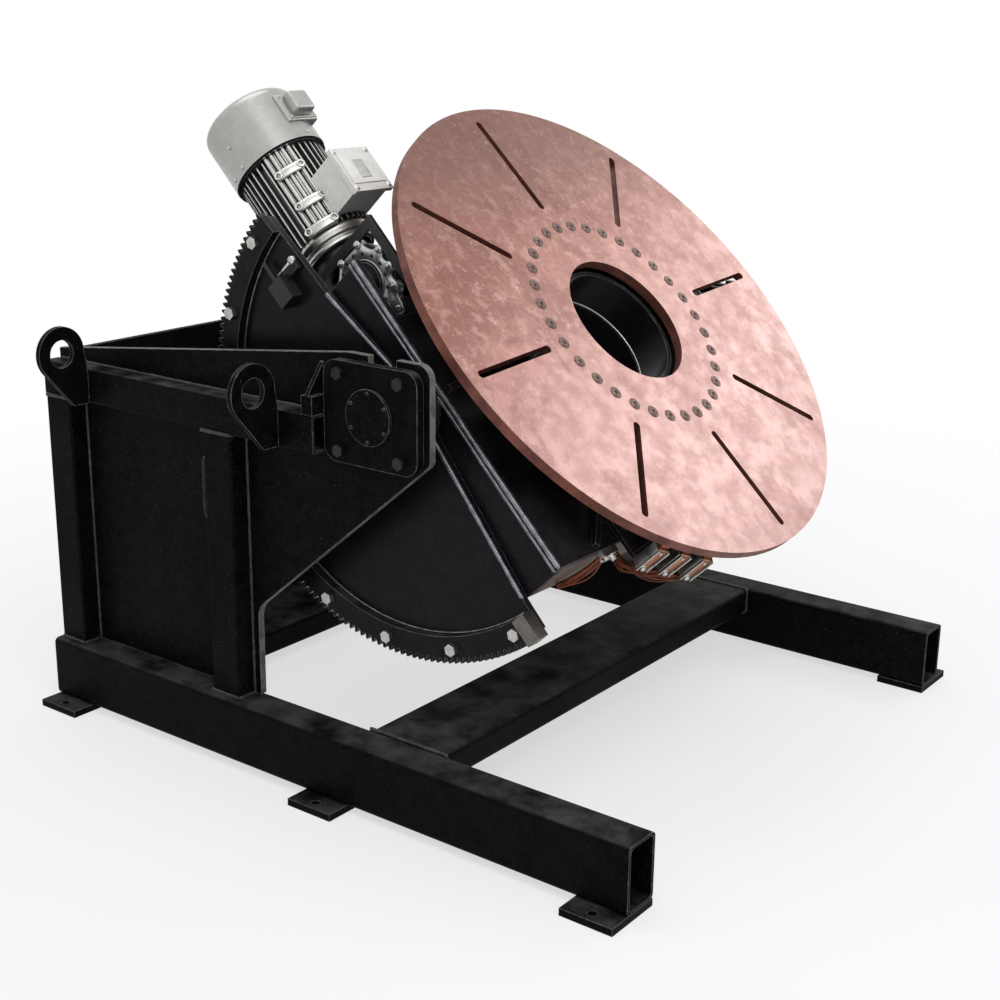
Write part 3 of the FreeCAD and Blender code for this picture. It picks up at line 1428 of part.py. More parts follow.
def braid(start, middle, end, radius):
    """A round lead along one arc through three points."""
    path = Part.Arc(start, middle, end)
    heading = path.tangent(path.FirstParameter)[0]
    section = Part.Wire(Part.Circle(start, heading, radius).toShape())
    return Part.Wire(path.toShape()).makePipeShell([section], True, True)


def earth_brush(k):
    """A brush block that slides in its holder against the table's back."""
    brush = turned_block(f"brush_block_{k}", around("brush_radius", "brush_deep"),
                         around(row_place(k), "brush_wide"),
                         "brush_back", f"{TABLE_BACK} - brush_gap")
    return on_head(group(f"earth_brush_{k + 1}", [brush]))


# ---------------------------------------------------------------- the whole machine

NODES = [skid(side, sign) for side, sign in SIDES.items()]
NODES += [foot_plates()]
NODES += [cross_member("cross_member_front", "member_y", "member_y + member_wide",
                       f"{SKID_TOP} - member_tall")]
NODES += [cross_member("cross_member_rear", f"{FRAME_HALF} - wall_thick - rear_member_wide",
                       f"{FRAME_HALF} - wall_thick", "foot_thick")]
for side, sign in SIDES.items():
    NODES += [post(side, sign, "front", "post_front_y"),
              post(side, sign, "rear", f"{FRAME_HALF} - post_deep")]
    NODES += [rail(side, sign), side_plate(side, sign), bearing_plate(side, sign)]
NODES += [rear_wall(), lifting_lugs(), rail_gussets(), bearing_bolts(), bearing_caps(), tilt_bearings()]
NODES += [shaft_bearings(), tilt_reducer(), tilt_motor(), tilt_bracket(), tilt_shaft()]
NODES += [tilt_pinions(), head_front_plate(), head_cross_plates(), head_fittings()]
for side, sign in SIDES.items():
    NODES += [head_side_plate(side, sign), sector_plate(side, sign), gear_segment(side, sign)]
NODES += [segment_bolts(), stop_blocks(), trunnions(), pedestal(), through_tube(), slewing_inner_ring()]
NODES += [slewing_balls(), front_ribs(), rotation_gearbox(), rotation_reducer(), rotation_motor()]
NODES += [motor_cowl(), terminal_box(), limit_switch(), brush_bracket(), brush_holders(), earth_braids()]
NODES += [slewing_gear(), table_plate(), table_screws(), slew_pinion()]
NODES += [earth_brush(k) for k in BRUSHES]

DOC.recompute()

for item in DOC.Objects:
    if {"Invalid", "Error"} & set(item.State):
        raise RuntimeError(f"{item.Name} failed: {item.State}")
for node in NODES:
    if node.Shape.isNull() or not node.Shape.isValid():
        raise RuntimeError(f"{node.Name} has no valid shape")

os.makedirs("parts", exist_ok=True)
for node in NODES:
    node.Label = node.Name
    node.Shape.exportStep(f"parts/{node.Label}.step")
print(len(NODES), "nodes")
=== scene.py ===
"""Welding positioner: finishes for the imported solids, weld beads, motor and brush details,
floor, light, camera.
"""
import json
import math

import bpy
import numpy as np
from mathutils import Matrix, Vector


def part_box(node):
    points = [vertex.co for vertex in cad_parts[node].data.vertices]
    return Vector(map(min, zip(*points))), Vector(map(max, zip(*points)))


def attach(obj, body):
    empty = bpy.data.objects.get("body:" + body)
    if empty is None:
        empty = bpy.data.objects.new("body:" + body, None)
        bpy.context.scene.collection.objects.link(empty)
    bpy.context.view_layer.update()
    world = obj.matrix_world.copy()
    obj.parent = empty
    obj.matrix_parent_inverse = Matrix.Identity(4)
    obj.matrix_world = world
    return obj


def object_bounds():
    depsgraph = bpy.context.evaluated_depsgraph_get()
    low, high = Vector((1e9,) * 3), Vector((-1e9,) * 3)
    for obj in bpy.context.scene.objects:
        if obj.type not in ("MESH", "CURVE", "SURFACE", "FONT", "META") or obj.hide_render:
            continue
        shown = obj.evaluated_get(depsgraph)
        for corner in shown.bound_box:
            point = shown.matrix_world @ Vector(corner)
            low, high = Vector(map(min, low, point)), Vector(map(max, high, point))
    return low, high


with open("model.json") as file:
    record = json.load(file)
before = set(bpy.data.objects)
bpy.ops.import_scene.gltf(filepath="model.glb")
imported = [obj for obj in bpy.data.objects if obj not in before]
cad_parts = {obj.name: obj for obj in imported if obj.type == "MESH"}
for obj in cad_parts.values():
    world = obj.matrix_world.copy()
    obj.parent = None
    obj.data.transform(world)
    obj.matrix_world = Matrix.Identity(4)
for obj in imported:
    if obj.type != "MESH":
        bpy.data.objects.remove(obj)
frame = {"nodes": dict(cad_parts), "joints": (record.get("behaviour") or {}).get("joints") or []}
CAD_BOX = [list(corner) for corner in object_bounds()]
JOINTS = {joint["name"]: joint for joint in frame["joints"]}

# ---------------------------------------------------------------- places on the machine
X = np.array([1.0, 0.0, 0.0])
PIVOT = np.array(JOINTS["tilt"]["pos_m"])
N = np.array(JOINTS["rotate_table"]["axis"])
V = np.cross(N, X)
LEAN = math.atan2(V[2], V[1])


def on_head(x, v, n):
    """A point of the tilting head: x across, v up the table face, n out of it, from the tilt axis."""
    x, v, n = (np.asarray(value, float)[..., None] for value in (x, v, n))
    return PIVOT + x * X + v * V + n * N


def corners(node):
    """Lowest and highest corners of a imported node."""
    low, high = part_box(node)
    return np.array(low), np.array(high)


def head_coordinate(node, direction):
    """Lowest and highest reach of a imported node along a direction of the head, from the tilt axis."""
    mesh = frame["nodes"][node].data
    points = np.empty(len(mesh.vertices) * 3)
    mesh.vertices.foreach_get("co", points)
    along = (points.reshape(-1, 3) - PIVOT) @ direction
    return along.min(), along.max()


# ---------------------------------------------------------------- shader building
def ink(red, green, blue):
    """A colour given as 0 to 255 screen values, turned into linear light."""
    screen = np.array([red, green, blue]) / 255.0
    linear = np.where(screen <= 0.04045, screen / 12.92, ((screen + 0.055) / 1.055) ** 2.4)
    return (*linear.tolist(), 1.0)


def add(tree, kind, sockets=None, **settings):
    """Adds a node, sets its options and gives each named socket a value or a link."""
    made = tree.nodes.new(kind)
    for key, value in settings.items():
        setattr(made, key, value)
    for key, value in (sockets or {}).items():
        if isinstance(value, bpy.types.NodeSocket):
            tree.links.new(value, made.inputs[key])
        else:
            made.inputs[key].default_value = value
    return made


def calc(tree, operation, a, b=0.0, clamp=False):
    """One arithmetic step on numbers."""
    return add(tree, "ShaderNodeMath", {0: a, 1: b}, operation=operation, use_clamp=clamp).outputs[0]


def rise(tree, value, low, high, start=0.0, end=1.0):
    """A smooth step from start to end while the value goes from low to high."""
    sockets = {"Value": value, "From Min": low, "From Max": high, "To Min": start, "To Max": end}
    return add(tree, "ShaderNodeMapRange", sockets, interpolation_type="SMOOTHSTEP").outputs[0]


def tint(tree, amount, a, b):
    """Mixes two colours by an amount."""
    made = add(tree, "ShaderNodeMix", data_type="RGBA", blend_type="MIX")
    for place, value in ((0, amount), (6, a), (7, b)):
        if isinstance(value, bpy.types.NodeSocket):
            tree.links.new(value, made.inputs[place])
        else:
            made.inputs[place].default_value = value
    return made.outputs[2]


def noise(tree, vector, scale, detail=3.0, roughness=0.55, distortion=0.0):
    """Cloudy noise between 0 and 1."""
    sockets = {"Vector": vector, "Scale": scale, "Detail": detail, "Roughness": roughness,
               "Distortion": distortion}
    return add(tree, "ShaderNodeTexNoise", sockets).outputs[0]


def new_group(name, inputs, outputs):
    """An empty shader group with its named sockets, and its inner input and output nodes."""
    tree = bpy.data.node_groups.new(name, "ShaderNodeTree")
    for label, kind, value in inputs:
        socket = tree.interface.new_socket(label, in_out="INPUT", socket_type=kind)
        if value is not None:
            socket.default_value = value
    for label, kind in outputs:
        tree.interface.new_socket(label, in_out="OUTPUT", socket_type=kind)
    return tree, tree.nodes.new("NodeGroupInput").outputs, tree.nodes.new("NodeGroupOutput").inputs


FLOAT, VECTOR = "NodeSocketFloat", "NodeSocketVector"


def make_edge_wear_and_highlight():
    """Edges for a painted highlight: how far a rounded normal leaves the true one; broken up by noise, for
    wear.
    """
    tree, given, out = new_group(
        "edge_wear_and_highlight",
        [("Vector", VECTOR, None), ("Reach", FLOAT, 0.004), ("Grit", FLOAT, 60.0)],
        [("Edge", FLOAT), ("Worn", FLOAT)],
    )
    rounded = add(tree, "ShaderNodeBevel", {"Radius": given["Reach"]}, samples=4).outputs[0]
    true = add(tree, "ShaderNodeNewGeometry").outputs["True Normal"]
    dot = add(tree, "ShaderNodeVectorMath", {0: rounded, 1: true}, operation="DOT_PRODUCT").outputs["Value"]
    edge = rise(tree, calc(tree, "SUBTRACT", 1.0, dot), 0.02, 0.22)
    broken = rise(tree, noise(tree, given["Vector"], given["Grit"], 4.0), 0.42, 0.62)
    tree.links.new(edge, out["Edge"])
    tree.links.new(calc(tree, "MULTIPLY", edge, broken), out["Worn"])
    return tree


def make_mottle():
    """Uneven tone: broad clouds, fine clouds and sparse specks of one size."""
    tree, given, out = new_group(
        "mottle",
        [("Vector", VECTOR, None), ("Broad Scale", FLOAT, 3.0), ("Fine Scale", FLOAT, 30.0),
         ("Speck Scale", FLOAT, 150.0)],
        [("Broad", FLOAT), ("Fine", FLOAT), ("Specks", FLOAT)],
    )
    broad = rise(tree, noise(tree, given["Vector"], given["Broad Scale"], 5.0, 0.6), 0.32, 0.68)
    fine = rise(tree, noise(tree, given["Vector"], given["Fine Scale"], 5.0, 0.65), 0.34, 0.66)
    specks = rise(tree, noise(tree, given["Vector"], given["Speck Scale"], 2.0), 0.66, 0.74)
    for value, label in ((broad, "Broad"), (fine, "Fine"), (specks, "Specks")):
        tree.links.new(value, out[label])
    return tree


def make_scratches():
    """Thin wandering lines: where a cloudy noise passes through its middle value."""
    tree, given, out = new_group(
        "scratches",
        [("Vector", VECTOR, None), ("Scale", FLOAT, 9.0), ("Width", FLOAT, 0.004), ("Cover", FLOAT, 0.5)],
        [("Lines", FLOAT)],
    )
    cloud = noise(tree, given["Vector"], given["Scale"], 1.6, 0.5, 1.4)
    away = calc(tree, "ABSOLUTE", calc(tree, "SUBTRACT", cloud, 0.5))
    line = calc(tree, "SUBTRACT", 1.0, calc(tree, "DIVIDE", away, given["Width"]), clamp=True)
    where = noise(tree, given["Vector"], calc(tree, "MULTIPLY", given["Scale"], 2.3), 2.0)
    cover = calc(tree, "LESS_THAN", where, given["Cover"])
    tree.links.new(calc(tree, "MULTIPLY", line, cover), out["Lines"])
    return tree


def make_dust_and_sheen():
    """Settled dust and painted sheen: faces that look up, broken by clouds."""
    tree, given, out = new_group(
        "dust", [("Vector", VECTOR, None), ("Scale", FLOAT, 14.0)], [("Dust", FLOAT)]
    )
    normal = add(tree, "ShaderNodeNewGeometry").outputs["Normal"]
    up = rise(tree, add(tree, "ShaderNodeSeparateXYZ", {0: normal}).outputs["Z"], 0.55, 0.98)
    clouds = rise(tree, noise(tree, given["Vector"], given["Scale"], 6.0, 0.62), 0.30, 0.75)
    tree.links.new(calc(tree, "MULTIPLY", up, clouds), out["Dust"])
    return tree


def make_recess_shade():
    """Painted shade in recesses: how little of the sky a point sees within a short reach."""
    tree, given, out = new_group("recess", [("Reach", FLOAT, 0.03)], [("Recess", FLOAT)])
    open_sky = add(tree, "ShaderNodeAmbientOcclusion", {"Distance": given["Reach"]}, samples=6).outputs["AO"]
    # painted shade: the less sky a point sees, the darker it is painted
    tree.links.new(rise(tree, open_sky, 0.40, 0.80, 1.0, 0.0), out["Recess"])
    return tree


GROUPS = {
    "recess": make_recess_shade(),
    "edge_wear_and_highlight": make_edge_wear_and_highlight(),
    "mottle": make_mottle(),
    "scratches": make_scratches(),
    "dust": make_dust_and_sheen(),
}


def effect(tree, name, **sockets):
    """Places one of the shared groups, with its socket names written with underscores."""
    made = tree.nodes.new("ShaderNodeGroup")
    made.node_tree = GROUPS[name]
    for key, value in sockets.items():
        socket = made.inputs[key.replace("_", " ")]
        if isinstance(value, bpy.types.NodeSocket):
            tree.links.new(value, socket)
        else:
            socket.default_value = value
    return made.outputs


def new_material(name, **sockets):
    """A material with one Principled shader, its constants set on the shader's own sockets."""
    material = bpy.data.materials.new(name)
    material.use_nodes = True
    tree = material.node_tree
    shader = tree.nodes["Principled BSDF"]
    for key, value in sockets.items():
        shader.inputs[key.replace("_", " ")].default_value = value
    place = add(tree, "ShaderNodeTexCoord").outputs["Object"]
    return material, tree, shader, place


def head_place(tree, place, centre):
    """Object coordinates turned and moved into the head's own x, v, n, about a centre."""
    sockets = {"Vector": place, "Location": tuple(centre), "Rotation": (LEAN, 0.0, 0.0)}
    return add(tree, "ShaderNodeMapping", sockets, vector_type="TEXTURE").outputs[0]


def feed(tree, shader, **sockets):
    """Links values to the shader's sockets."""
    for key, value in sockets.items():
        tree.links.new(value, shader.inputs[key.replace("_", " ")])


def bumped(tree, shader, height, distance, strength=1.0):
    """Feeds a height to the shader's normal."""
    sockets = {"Height": height, "Distance": distance, "Strength": strength}
    feed(tree, shader, Normal=add(tree, "ShaderNodeBump", sockets).outputs[0])


# ---------------------------------------------------------------- finishes
def painted_steel(name, colour, wear_and_highlight_colour, rough_low, rough_high, specular, dust_and_sheen_amount=0.30, edge_glint_amount=0.0):
    """Satin paint on steel: uneven gloss, dust and painted sheen on top, worn edges with painted highlights,
    and painted glints on cut edges by the given amount.
    """
    material, tree, shader, place = new_material(name, Specular_IOR_Level=specular)
    tone = effect(tree, "mottle", Vector=place, Broad_Scale=2.2, Fine_Scale=26.0, Speck_Scale=210.0)
    edge = effect(tree, "edge_wear_and_highlight", Vector=place, Reach=0.004, Grit=48.0)
    dust = effect(tree, "dust", Vector=place, Scale=9.0)["Dust"]
    lighter = tuple(min(1.0, c * 1.7 + 0.004) for c in colour[:3]) + (1.0,)
    base = tint(tree, calc(tree, "MULTIPLY", tone["Fine"], 0.5), colour, lighter)
    # dust and painted sheen: faces that look up lightened
    base = tint(tree, calc(tree, "MULTIPLY", dust, dust_and_sheen_amount), base, ink(118, 114, 112))
    base = tint(tree, calc(tree, "MULTIPLY", tone["Specks"], 0.22), base, ink(140, 136, 132))
    # painted highlight along every edge, plus wear where the edge is broken up by noise
    worn_and_highlight = calc(tree, "MAXIMUM", calc(tree, "MULTIPLY", edge["Edge"], 0.45),
                calc(tree, "MULTIPLY", edge["Worn"], 0.9))
    base = tint(tree, worn_and_highlight, base, wear_and_highlight_colour)
    # painted highlight: faces that do not look across, the plates' cut edges, lightened
    if edge_glint_amount:
        normal = add(tree, "ShaderNodeNewGeometry").outputs["Normal"]
        across = calc(tree, "ABSOLUTE", add(tree, "ShaderNodeSeparateXYZ", {0: normal}).outputs[0])
        painted_glint = calc(tree, "MULTIPLY", rise(tree, across, 0.15, 0.75, 1.0, 0.0),
                   rise(tree, tone["Fine"], 0.0, 1.0, edge_glint_amount, edge_glint_amount * 0.5))
        base = tint(tree, painted_glint, base, ink(150, 148, 145))
    rough = rise(tree, tone["Broad"], 0.0, 1.0, rough_low, rough_high)
    rough = calc(tree, "ADD", rough, calc(tree, "MULTIPLY", dust, 0.16), clamp=True)
    feed(tree, shader, Base_Color=base, Roughness=rough)
    bumped(tree, shader, noise(tree, place, 240.0, 2.0), 0.0004, 0.35)
    return material


def cross_plate_painted_light():
    """The head's paint, with painted brown light on the shaded underside of the lower cross plate alone."""
    material = painted_steel("head_paint_painted_light", ink(15, 12, 16), ink(150, 146, 144), 0.36, 0.50, 0.10)
    tree = material.node_tree
    shader = tree.nodes["Principled BSDF"]
    place = add(tree, "ShaderNodeTexCoord").outputs["Object"]
    v = add(tree, "ShaderNodeSeparateXYZ", {0: head_place(tree, place, PIVOT)}).outputs[1]
    paint = shader.inputs["Base Color"].links[0].from_socket
    # painted light: the lower part of the head, below v of -0.30, painted brown
    feed(tree, shader, Base_Color=tint(tree, rise(tree, v, -0.35, -0.30, 0.9, 0.0), paint, ink(112, 93, 84)))
    return material


def bright_metal(name, colour, stain, roughness, scale, metallic=1.0):
    """Bare or plated metal: cloudy stain, fine brushed grain and painted highlights on its edges."""
    material, tree, shader, place = new_material(name, Metallic=metallic)
    tone = effect(tree, "mottle", Vector=place, Broad_Scale=scale * 0.2, Fine_Scale=scale,
                  Speck_Scale=scale * 5)
    edge = effect(tree, "edge_wear_and_highlight", Vector=place, Reach=0.0016, Grit=90.0)["Edge"]
    base = tint(tree, calc(tree, "MULTIPLY", tone["Fine"], 0.55), colour, stain)
    base = tint(tree, calc(tree, "MULTIPLY", tone["Specks"], 0.30), base,
                tuple(c * 0.45 for c in colour[:3]) + (1.0,))
    # painted highlight: edges lightened
    lighter = tuple(min(1.0, c * 1.25 + 0.03) for c in colour[:3]) + (1.0,)
    base = tint(tree, calc(tree, "MULTIPLY", edge, 0.5), base, lighter)
    rough = rise(tree, tone["Broad"], 0.0, 1.0, roughness - 0.07, roughness + 0.1)
    feed(tree, shader, Base_Color=base, Roughness=rough)
    bumped(tree, shader, noise(tree, place, scale * 9.0, 2.0), 0.0002, 0.3)
    return material


def cast_metal(name, colour, shade, roughness, grain, metallic, recess_shade_amount=0.75):
    """A casting, sand-grained, with painted shade in its recesses and painted highlights lightening its
    edges.
    """
    material, tree, shader, place = new_material(name, Metallic=metallic, Specular_IOR_Level=0.45)
    tone = effect(tree, "mottle", Vector=place, Broad_Scale=5.0, Fine_Scale=38.0, Speck_Scale=260.0)
    edge = effect(tree, "edge_wear_and_highlight", Vector=place, Reach=0.003, Grit=70.0)
    base = tint(tree, calc(tree, "MULTIPLY", tone["Fine"], 0.45), colour, shade)
    base = tint(tree, calc(tree, "MULTIPLY", tone["Specks"], 0.35), base, shade)
    # painted highlight: edges lightened
    lighter = tuple(min(1.0, c * 1.35 + 0.08) for c in colour[:3]) + (1.0,)
    base = tint(tree, calc(tree, "MULTIPLY", edge["Edge"], 0.7), base, lighter)
    recess = effect(tree, "recess", Reach=0.028)["Recess"]
    # painted shade: recesses darkened towards near black by the given amount
    base = tint(tree, calc(tree, "MULTIPLY", recess, recess_shade_amount), base, ink(16, 15, 15))
    rough = rise(tree, tone["Broad"], 0.0, 1.0, roughness - 0.06, roughness + 0.08)
    feed(tree, shader, Base_Color=base, Roughness=rough)
    bumped(tree, shader, noise(tree, place, grain, 4.0, 0.7), 0.0006, 0.5)
    return material


def table_copper():
    """The coppered table: patina clouds, speckle, fine curled scratches, faint turning rings, dark edges,
    painted glare to the lower right and painted shade at the top.
    """
    material, tree, shader, place = new_material("table_copper", Metallic=0.55, Specular_IOR_Level=0.5)
    top = head_coordinate("table_plate", N)[1]
    centre = np.array(JOINTS["rotate_table"]["pos_m"])
    centre = centre + (top - (centre - PIVOT) @ N) * N
    face = head_place(tree, place, centre)
    x, v, n = add(tree, "ShaderNodeSeparateXYZ", {0: face}).outputs
    flat = add(tree, "ShaderNodeCombineXYZ", {"X": x, "Y": v}).outputs[0]
    radius = add(tree, "ShaderNodeVectorMath", {0: flat}, operation="LENGTH").outputs["Value"]
    tone = effect(tree, "mottle", Vector=face, Broad_Scale=2.6, Fine_Scale=15.0, Speck_Scale=165.0)
    grey = effect(tree, "mottle", Vector=face, Broad_Scale=1.3, Fine_Scale=55.0, Speck_Scale=95.0)
    lines = effect(tree, "scratches", Vector=face, Scale=13.0, Width=0.006, Cover=0.52)["Lines"]
    hair = effect(tree, "scratches", Vector=face, Scale=34.0, Width=0.012, Cover=0.46)["Lines"]
    # painted glare: the face grows lighter towards its lower right
    painted_glare = rise(tree, calc(tree, "SUBTRACT", calc(tree, "MULTIPLY", x, 0.35), v), -0.45, 0.45)
    patch = rise(tree, noise(tree, face, 3.0, 7.0, 0.74, 0.3), 0.46, 0.57)
    flake = rise(tree, noise(tree, face, 24.0, 6.0, 0.72), 0.50, 0.60)
    # the patina's colours run lighter into the painted glare
    clean = tint(tree, painted_glare, ink(150, 100, 88), ink(204, 166, 160))
    brown = tint(tree, painted_glare, ink(126, 78, 65), ink(184, 144, 138))
    base = tint(tree, patch, clean, brown)
    base = tint(tree, calc(tree, "MULTIPLY", flake, 0.45), base,
                tint(tree, painted_glare, ink(196, 154, 142), ink(190, 158, 158)))
    base = tint(tree, calc(tree, "MULTIPLY", tone["Fine"], 0.3), base, ink(152, 108, 96))
    # painted shade: the upper part of the face darkened
    base = tint(tree, rise(tree, v, 0.22, 0.62, 0.0, 0.70), base, ink(112, 76, 68))
    # grey specks, more of them in the painted glare
    speck = calc(tree, "MULTIPLY", grey["Specks"], rise(tree, painted_glare, 0.1, 0.8, 0.15, 0.75))
    base = tint(tree, speck, base, ink(158, 124, 126))
    base = tint(tree, calc(tree, "MULTIPLY", tone["Specks"], 0.35), base, ink(132, 88, 76))
    line = calc(tree, "MAXIMUM", lines, calc(tree, "MULTIPLY", hair, 0.7))
    base = tint(tree, calc(tree, "MULTIPLY", line, 0.45), base, ink(216, 178, 164))
    under = rise(tree, n, -0.0012, -0.0004, 1.0, 0.0)
    dark = tint(tree, tone["Fine"], ink(122, 72, 60), ink(88, 50, 42))
    base = tint(tree, under, base, dark)
    rings = calc(tree, "SINE", calc(tree, "MULTIPLY", radius, 2600.0))
    rough = rise(tree, tone["Fine"], 0.0, 1.0, 0.34, 0.46)
    rough = calc(tree, "ADD", rough, calc(tree, "MULTIPLY", under, 0.1), clamp=True)
    feed(tree, shader, Base_Color=base, Roughness=rough)
    relief = calc(tree, "ADD", calc(tree, "MULTIPLY", rings, 0.12), calc(tree, "MULTIPLY", line, -0.6))
    bumped(tree, shader, calc(tree, "ADD", relief, noise(tree, face, 320.0, 3.0)), 0.00025, 0.35)
    return material


def woven_copper():
    """Braided copper wire: two crossed sets of fine strands."""
    material, tree, shader, place = new_material("braid_copper", Metallic=1.0, Roughness=0.38)
    turned = add(tree, "ShaderNodeMapping", {"Vector": place, "Rotation": (0.5, 0.7, 0.8)}).outputs[0]
    sockets = {"Vector": place, "Scale": 420.0, "Distortion": 0.6}
    one = add(tree, "ShaderNodeTexWave", sockets, bands_direction="DIAGONAL").outputs["Fac"]
    other = add(tree, "ShaderNodeTexWave", {**sockets, "Vector": turned},
                bands_direction="DIAGONAL").outputs["Fac"]
    weave = calc(tree, "MAXIMUM", one, other)
    feed(tree, shader, Base_Color=tint(tree, weave, ink(40, 22, 17), ink(132, 76, 58)))
    bumped(tree, shader, weave, 0.0006, 0.7)
    return material


def moulded_plastic():
    """Black moulded plastic with a fine spark-eroded grain."""
    material, tree, shader, place = new_material("switch_plastic", Specular_IOR_Level=0.4)
    tone = effect(tree, "mottle", Vector=place, Broad_Scale=14.0, Fine_Scale=90.0, Speck_Scale=400.0)
    feed(tree, shader, Base_Color=tint(tree, tone["Fine"], ink(18, 18, 20), ink(28, 28, 31)))
    feed(tree, shader, Roughness=rise(tree, tone["Broad"], 0.0, 1.0, 0.38, 0.55))
    bumped(tree, shader, noise(tree, place, 900.0, 2.0), 0.0002, 0.4)
    return material


FINISHES = {
    "frame_paint": painted_steel("frame_paint", ink(7, 7, 8), ink(150, 148, 146), 0.42, 0.56, 0.03, 0.38),
    "head_paint": painted_steel("head_paint", ink(15, 12, 16), ink(150, 146, 144), 0.28, 0.42, 0.10),
    "gear_steel": bright_metal("gear_steel", ink(112, 108, 104), ink(84, 78, 74), 0.34, 24.0),
    "zinc": bright_metal("zinc", ink(196, 196, 192), ink(158, 156, 150), 0.32, 60.0),
    "bearing_steel": bright_metal("bearing_steel", ink(150, 150, 150), ink(112, 110, 108), 0.30, 30.0),
    "motor_grey": cast_metal("motor_grey", ink(202, 201, 198), ink(168, 167, 164), 0.30, 300.0, 0.7, 0.88),
    "reducer_aluminium": cast_metal("reducer_aluminium", ink(196, 197, 198), ink(150, 150, 150), 0.32,
                                    260.0, 0.8, 0.95),
    "gearbox_iron": cast_metal("gearbox_iron", ink(44, 43, 46), ink(30, 30, 32), 0.45, 220.0, 0.0),
    "blackened": bright_metal("blackened", ink(42, 42, 44), ink(28, 28, 30), 0.36, 60.0, 0.7),
    "screw_steel": bright_metal("screw_steel", ink(112, 90, 85), ink(70, 54, 50), 0.30, 60.0),
    "cowl_grey": cast_metal("cowl_grey", ink(176, 175, 172), ink(158, 157, 154), 0.32, 420.0, 0.6, 0.35),
    "box_grey": cast_metal("box_grey", ink(226, 224, 220), ink(202, 200, 196), 0.34, 300.0, 0.4, 0.6),
    "switch_plastic": moulded_plastic(),
    "brass": bright_metal("brass", ink(176, 150, 124), ink(124, 92, 70), 0.30, 50.0),
    "copper": bright_metal("copper", ink(176, 116, 90), ink(128, 76, 58), 0.34, 60.0),
    "head_paint_painted_light": cross_plate_painted_light(),
    # the side plates: paint with a painted highlight on their cut edges
    "plate_painted_glint": painted_steel("plate_painted_glint", ink(7, 7, 8), ink(170, 168, 166), 0.42, 0.56, 0.03, 0.44,
                                  0.60),
    "drive_cast": cast_metal("drive_cast", ink(66, 65, 66), ink(40, 39, 40), 0.30, 260.0, 0.6, 0.9),
    "table_copper": table_copper(),
    "braid_copper": woven_copper(),
    "weld_metal": bright_metal("weld_metal", ink(132, 130, 138), ink(30, 29, 33), 0.22, 40.0, 0.7),
    "frame_weld": painted_steel("frame_weld", ink(20, 20, 21), ink(120, 118, 116), 0.30, 0.42, 0.3),
}
BY_NODE = {
    "earth_braids": "braid_copper",
    "bearing_bolts": "blackened",
    "table_screws": "screw_steel",
    "motor_cowl": "cowl_grey",
    "head_cross_plates": "head_paint_painted_light",
    "rotation_reducer": "drive_cast",
    "terminal_box": "box_grey",
    "side_plate_left": "plate_painted_glint",
    "side_plate_right": "plate_painted_glint",
}


def dress_nodes():
    """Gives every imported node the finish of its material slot, or its own where BY_NODE names one."""
    for name, item in frame["nodes"].items():
        for place, held in enumerate(item.data.materials):
            slot = held.name.split(".")[0]
            item.data.materials[place] = FINISHES[BY_NODE.get(name, slot)]


# ---------------------------------------------------------------- surfaces
def put_mesh(name, body, finish, points, faces, slot=None):
    """Puts points and four-cornered faces into a mesh object that rides on a body."""
    mesh = bpy.data.meshes.new(name)
    mesh.from_pydata(np.asarray(points).reshape(-1, 3).tolist(), [], np.asarray(faces).tolist())
    mesh.polygons.foreach_set("use_smooth", np.ones(len(mesh.polygons), bool))
    mesh.materials.append(FINISHES[finish])
    mesh.update()
    item = bpy.data.objects.new(name, mesh)
    bpy.context.scene.collection.objects.link(item)
    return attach(item, body)


def grid_faces(rows, columns, start=0, close_rows=False, close_columns=False):
    """Faces of a grid of points: each joins a point, the next along, the next across and the one beside."""
    i = np.arange(rows if close_rows else rows - 1)[:, None]
    j = np.arange(columns if close_columns else columns - 1)[None, :]
    a, b = i * columns + j, i * columns + (j + 1) % columns
    c, d = ((i + 1) % rows) * columns + (j + 1) % columns, ((i + 1) % rows) * columns + j
    return start + np.stack(np.broadcast_arrays(a, b, c, d), -1).reshape(-1, 4)


def gather(surfaces):
    """Joins several grids (points, close_rows, close_columns) into one set of points and faces."""
    points, faces, start = [], [], 0
    for grid, close_rows, close_columns in surfaces:
        rows, columns = grid.shape[:2]
        points.append(grid.reshape(-1, 3))
        faces.append(grid_faces(rows, columns, start, close_rows, close_columns))
        start += rows * columns
    return np.concatenate(points), np.concatenate(faces)


def unit(vector):
    """A direction of length one."""
    return vector / np.linalg.norm(vector, axis=-1, keepdims=True)


def turned(profile, centre, axis, steps=32, start=None):
    """A turned form: each (radius, height) of the profile carried round the axis, closed where it is nil."""
    axis = unit(np.asarray(axis, float))
    if start is None:
        start = np.cross(axis, X if abs(axis[0]) < 0.9 else V)
    side = unit(np.asarray(start, float))
    other = np.cross(axis, side)
    radius, height = np.asarray(profile, float).T
    angle = np.linspace(0.0, 2 * np.pi, steps, endpoint=False)
    ring = np.cos(angle)[:, None] * side + np.sin(angle)[:, None] * other
    grid = centre + radius[:, None, None] * ring[None] + height[:, None, None] * axis
    return grid, False, True


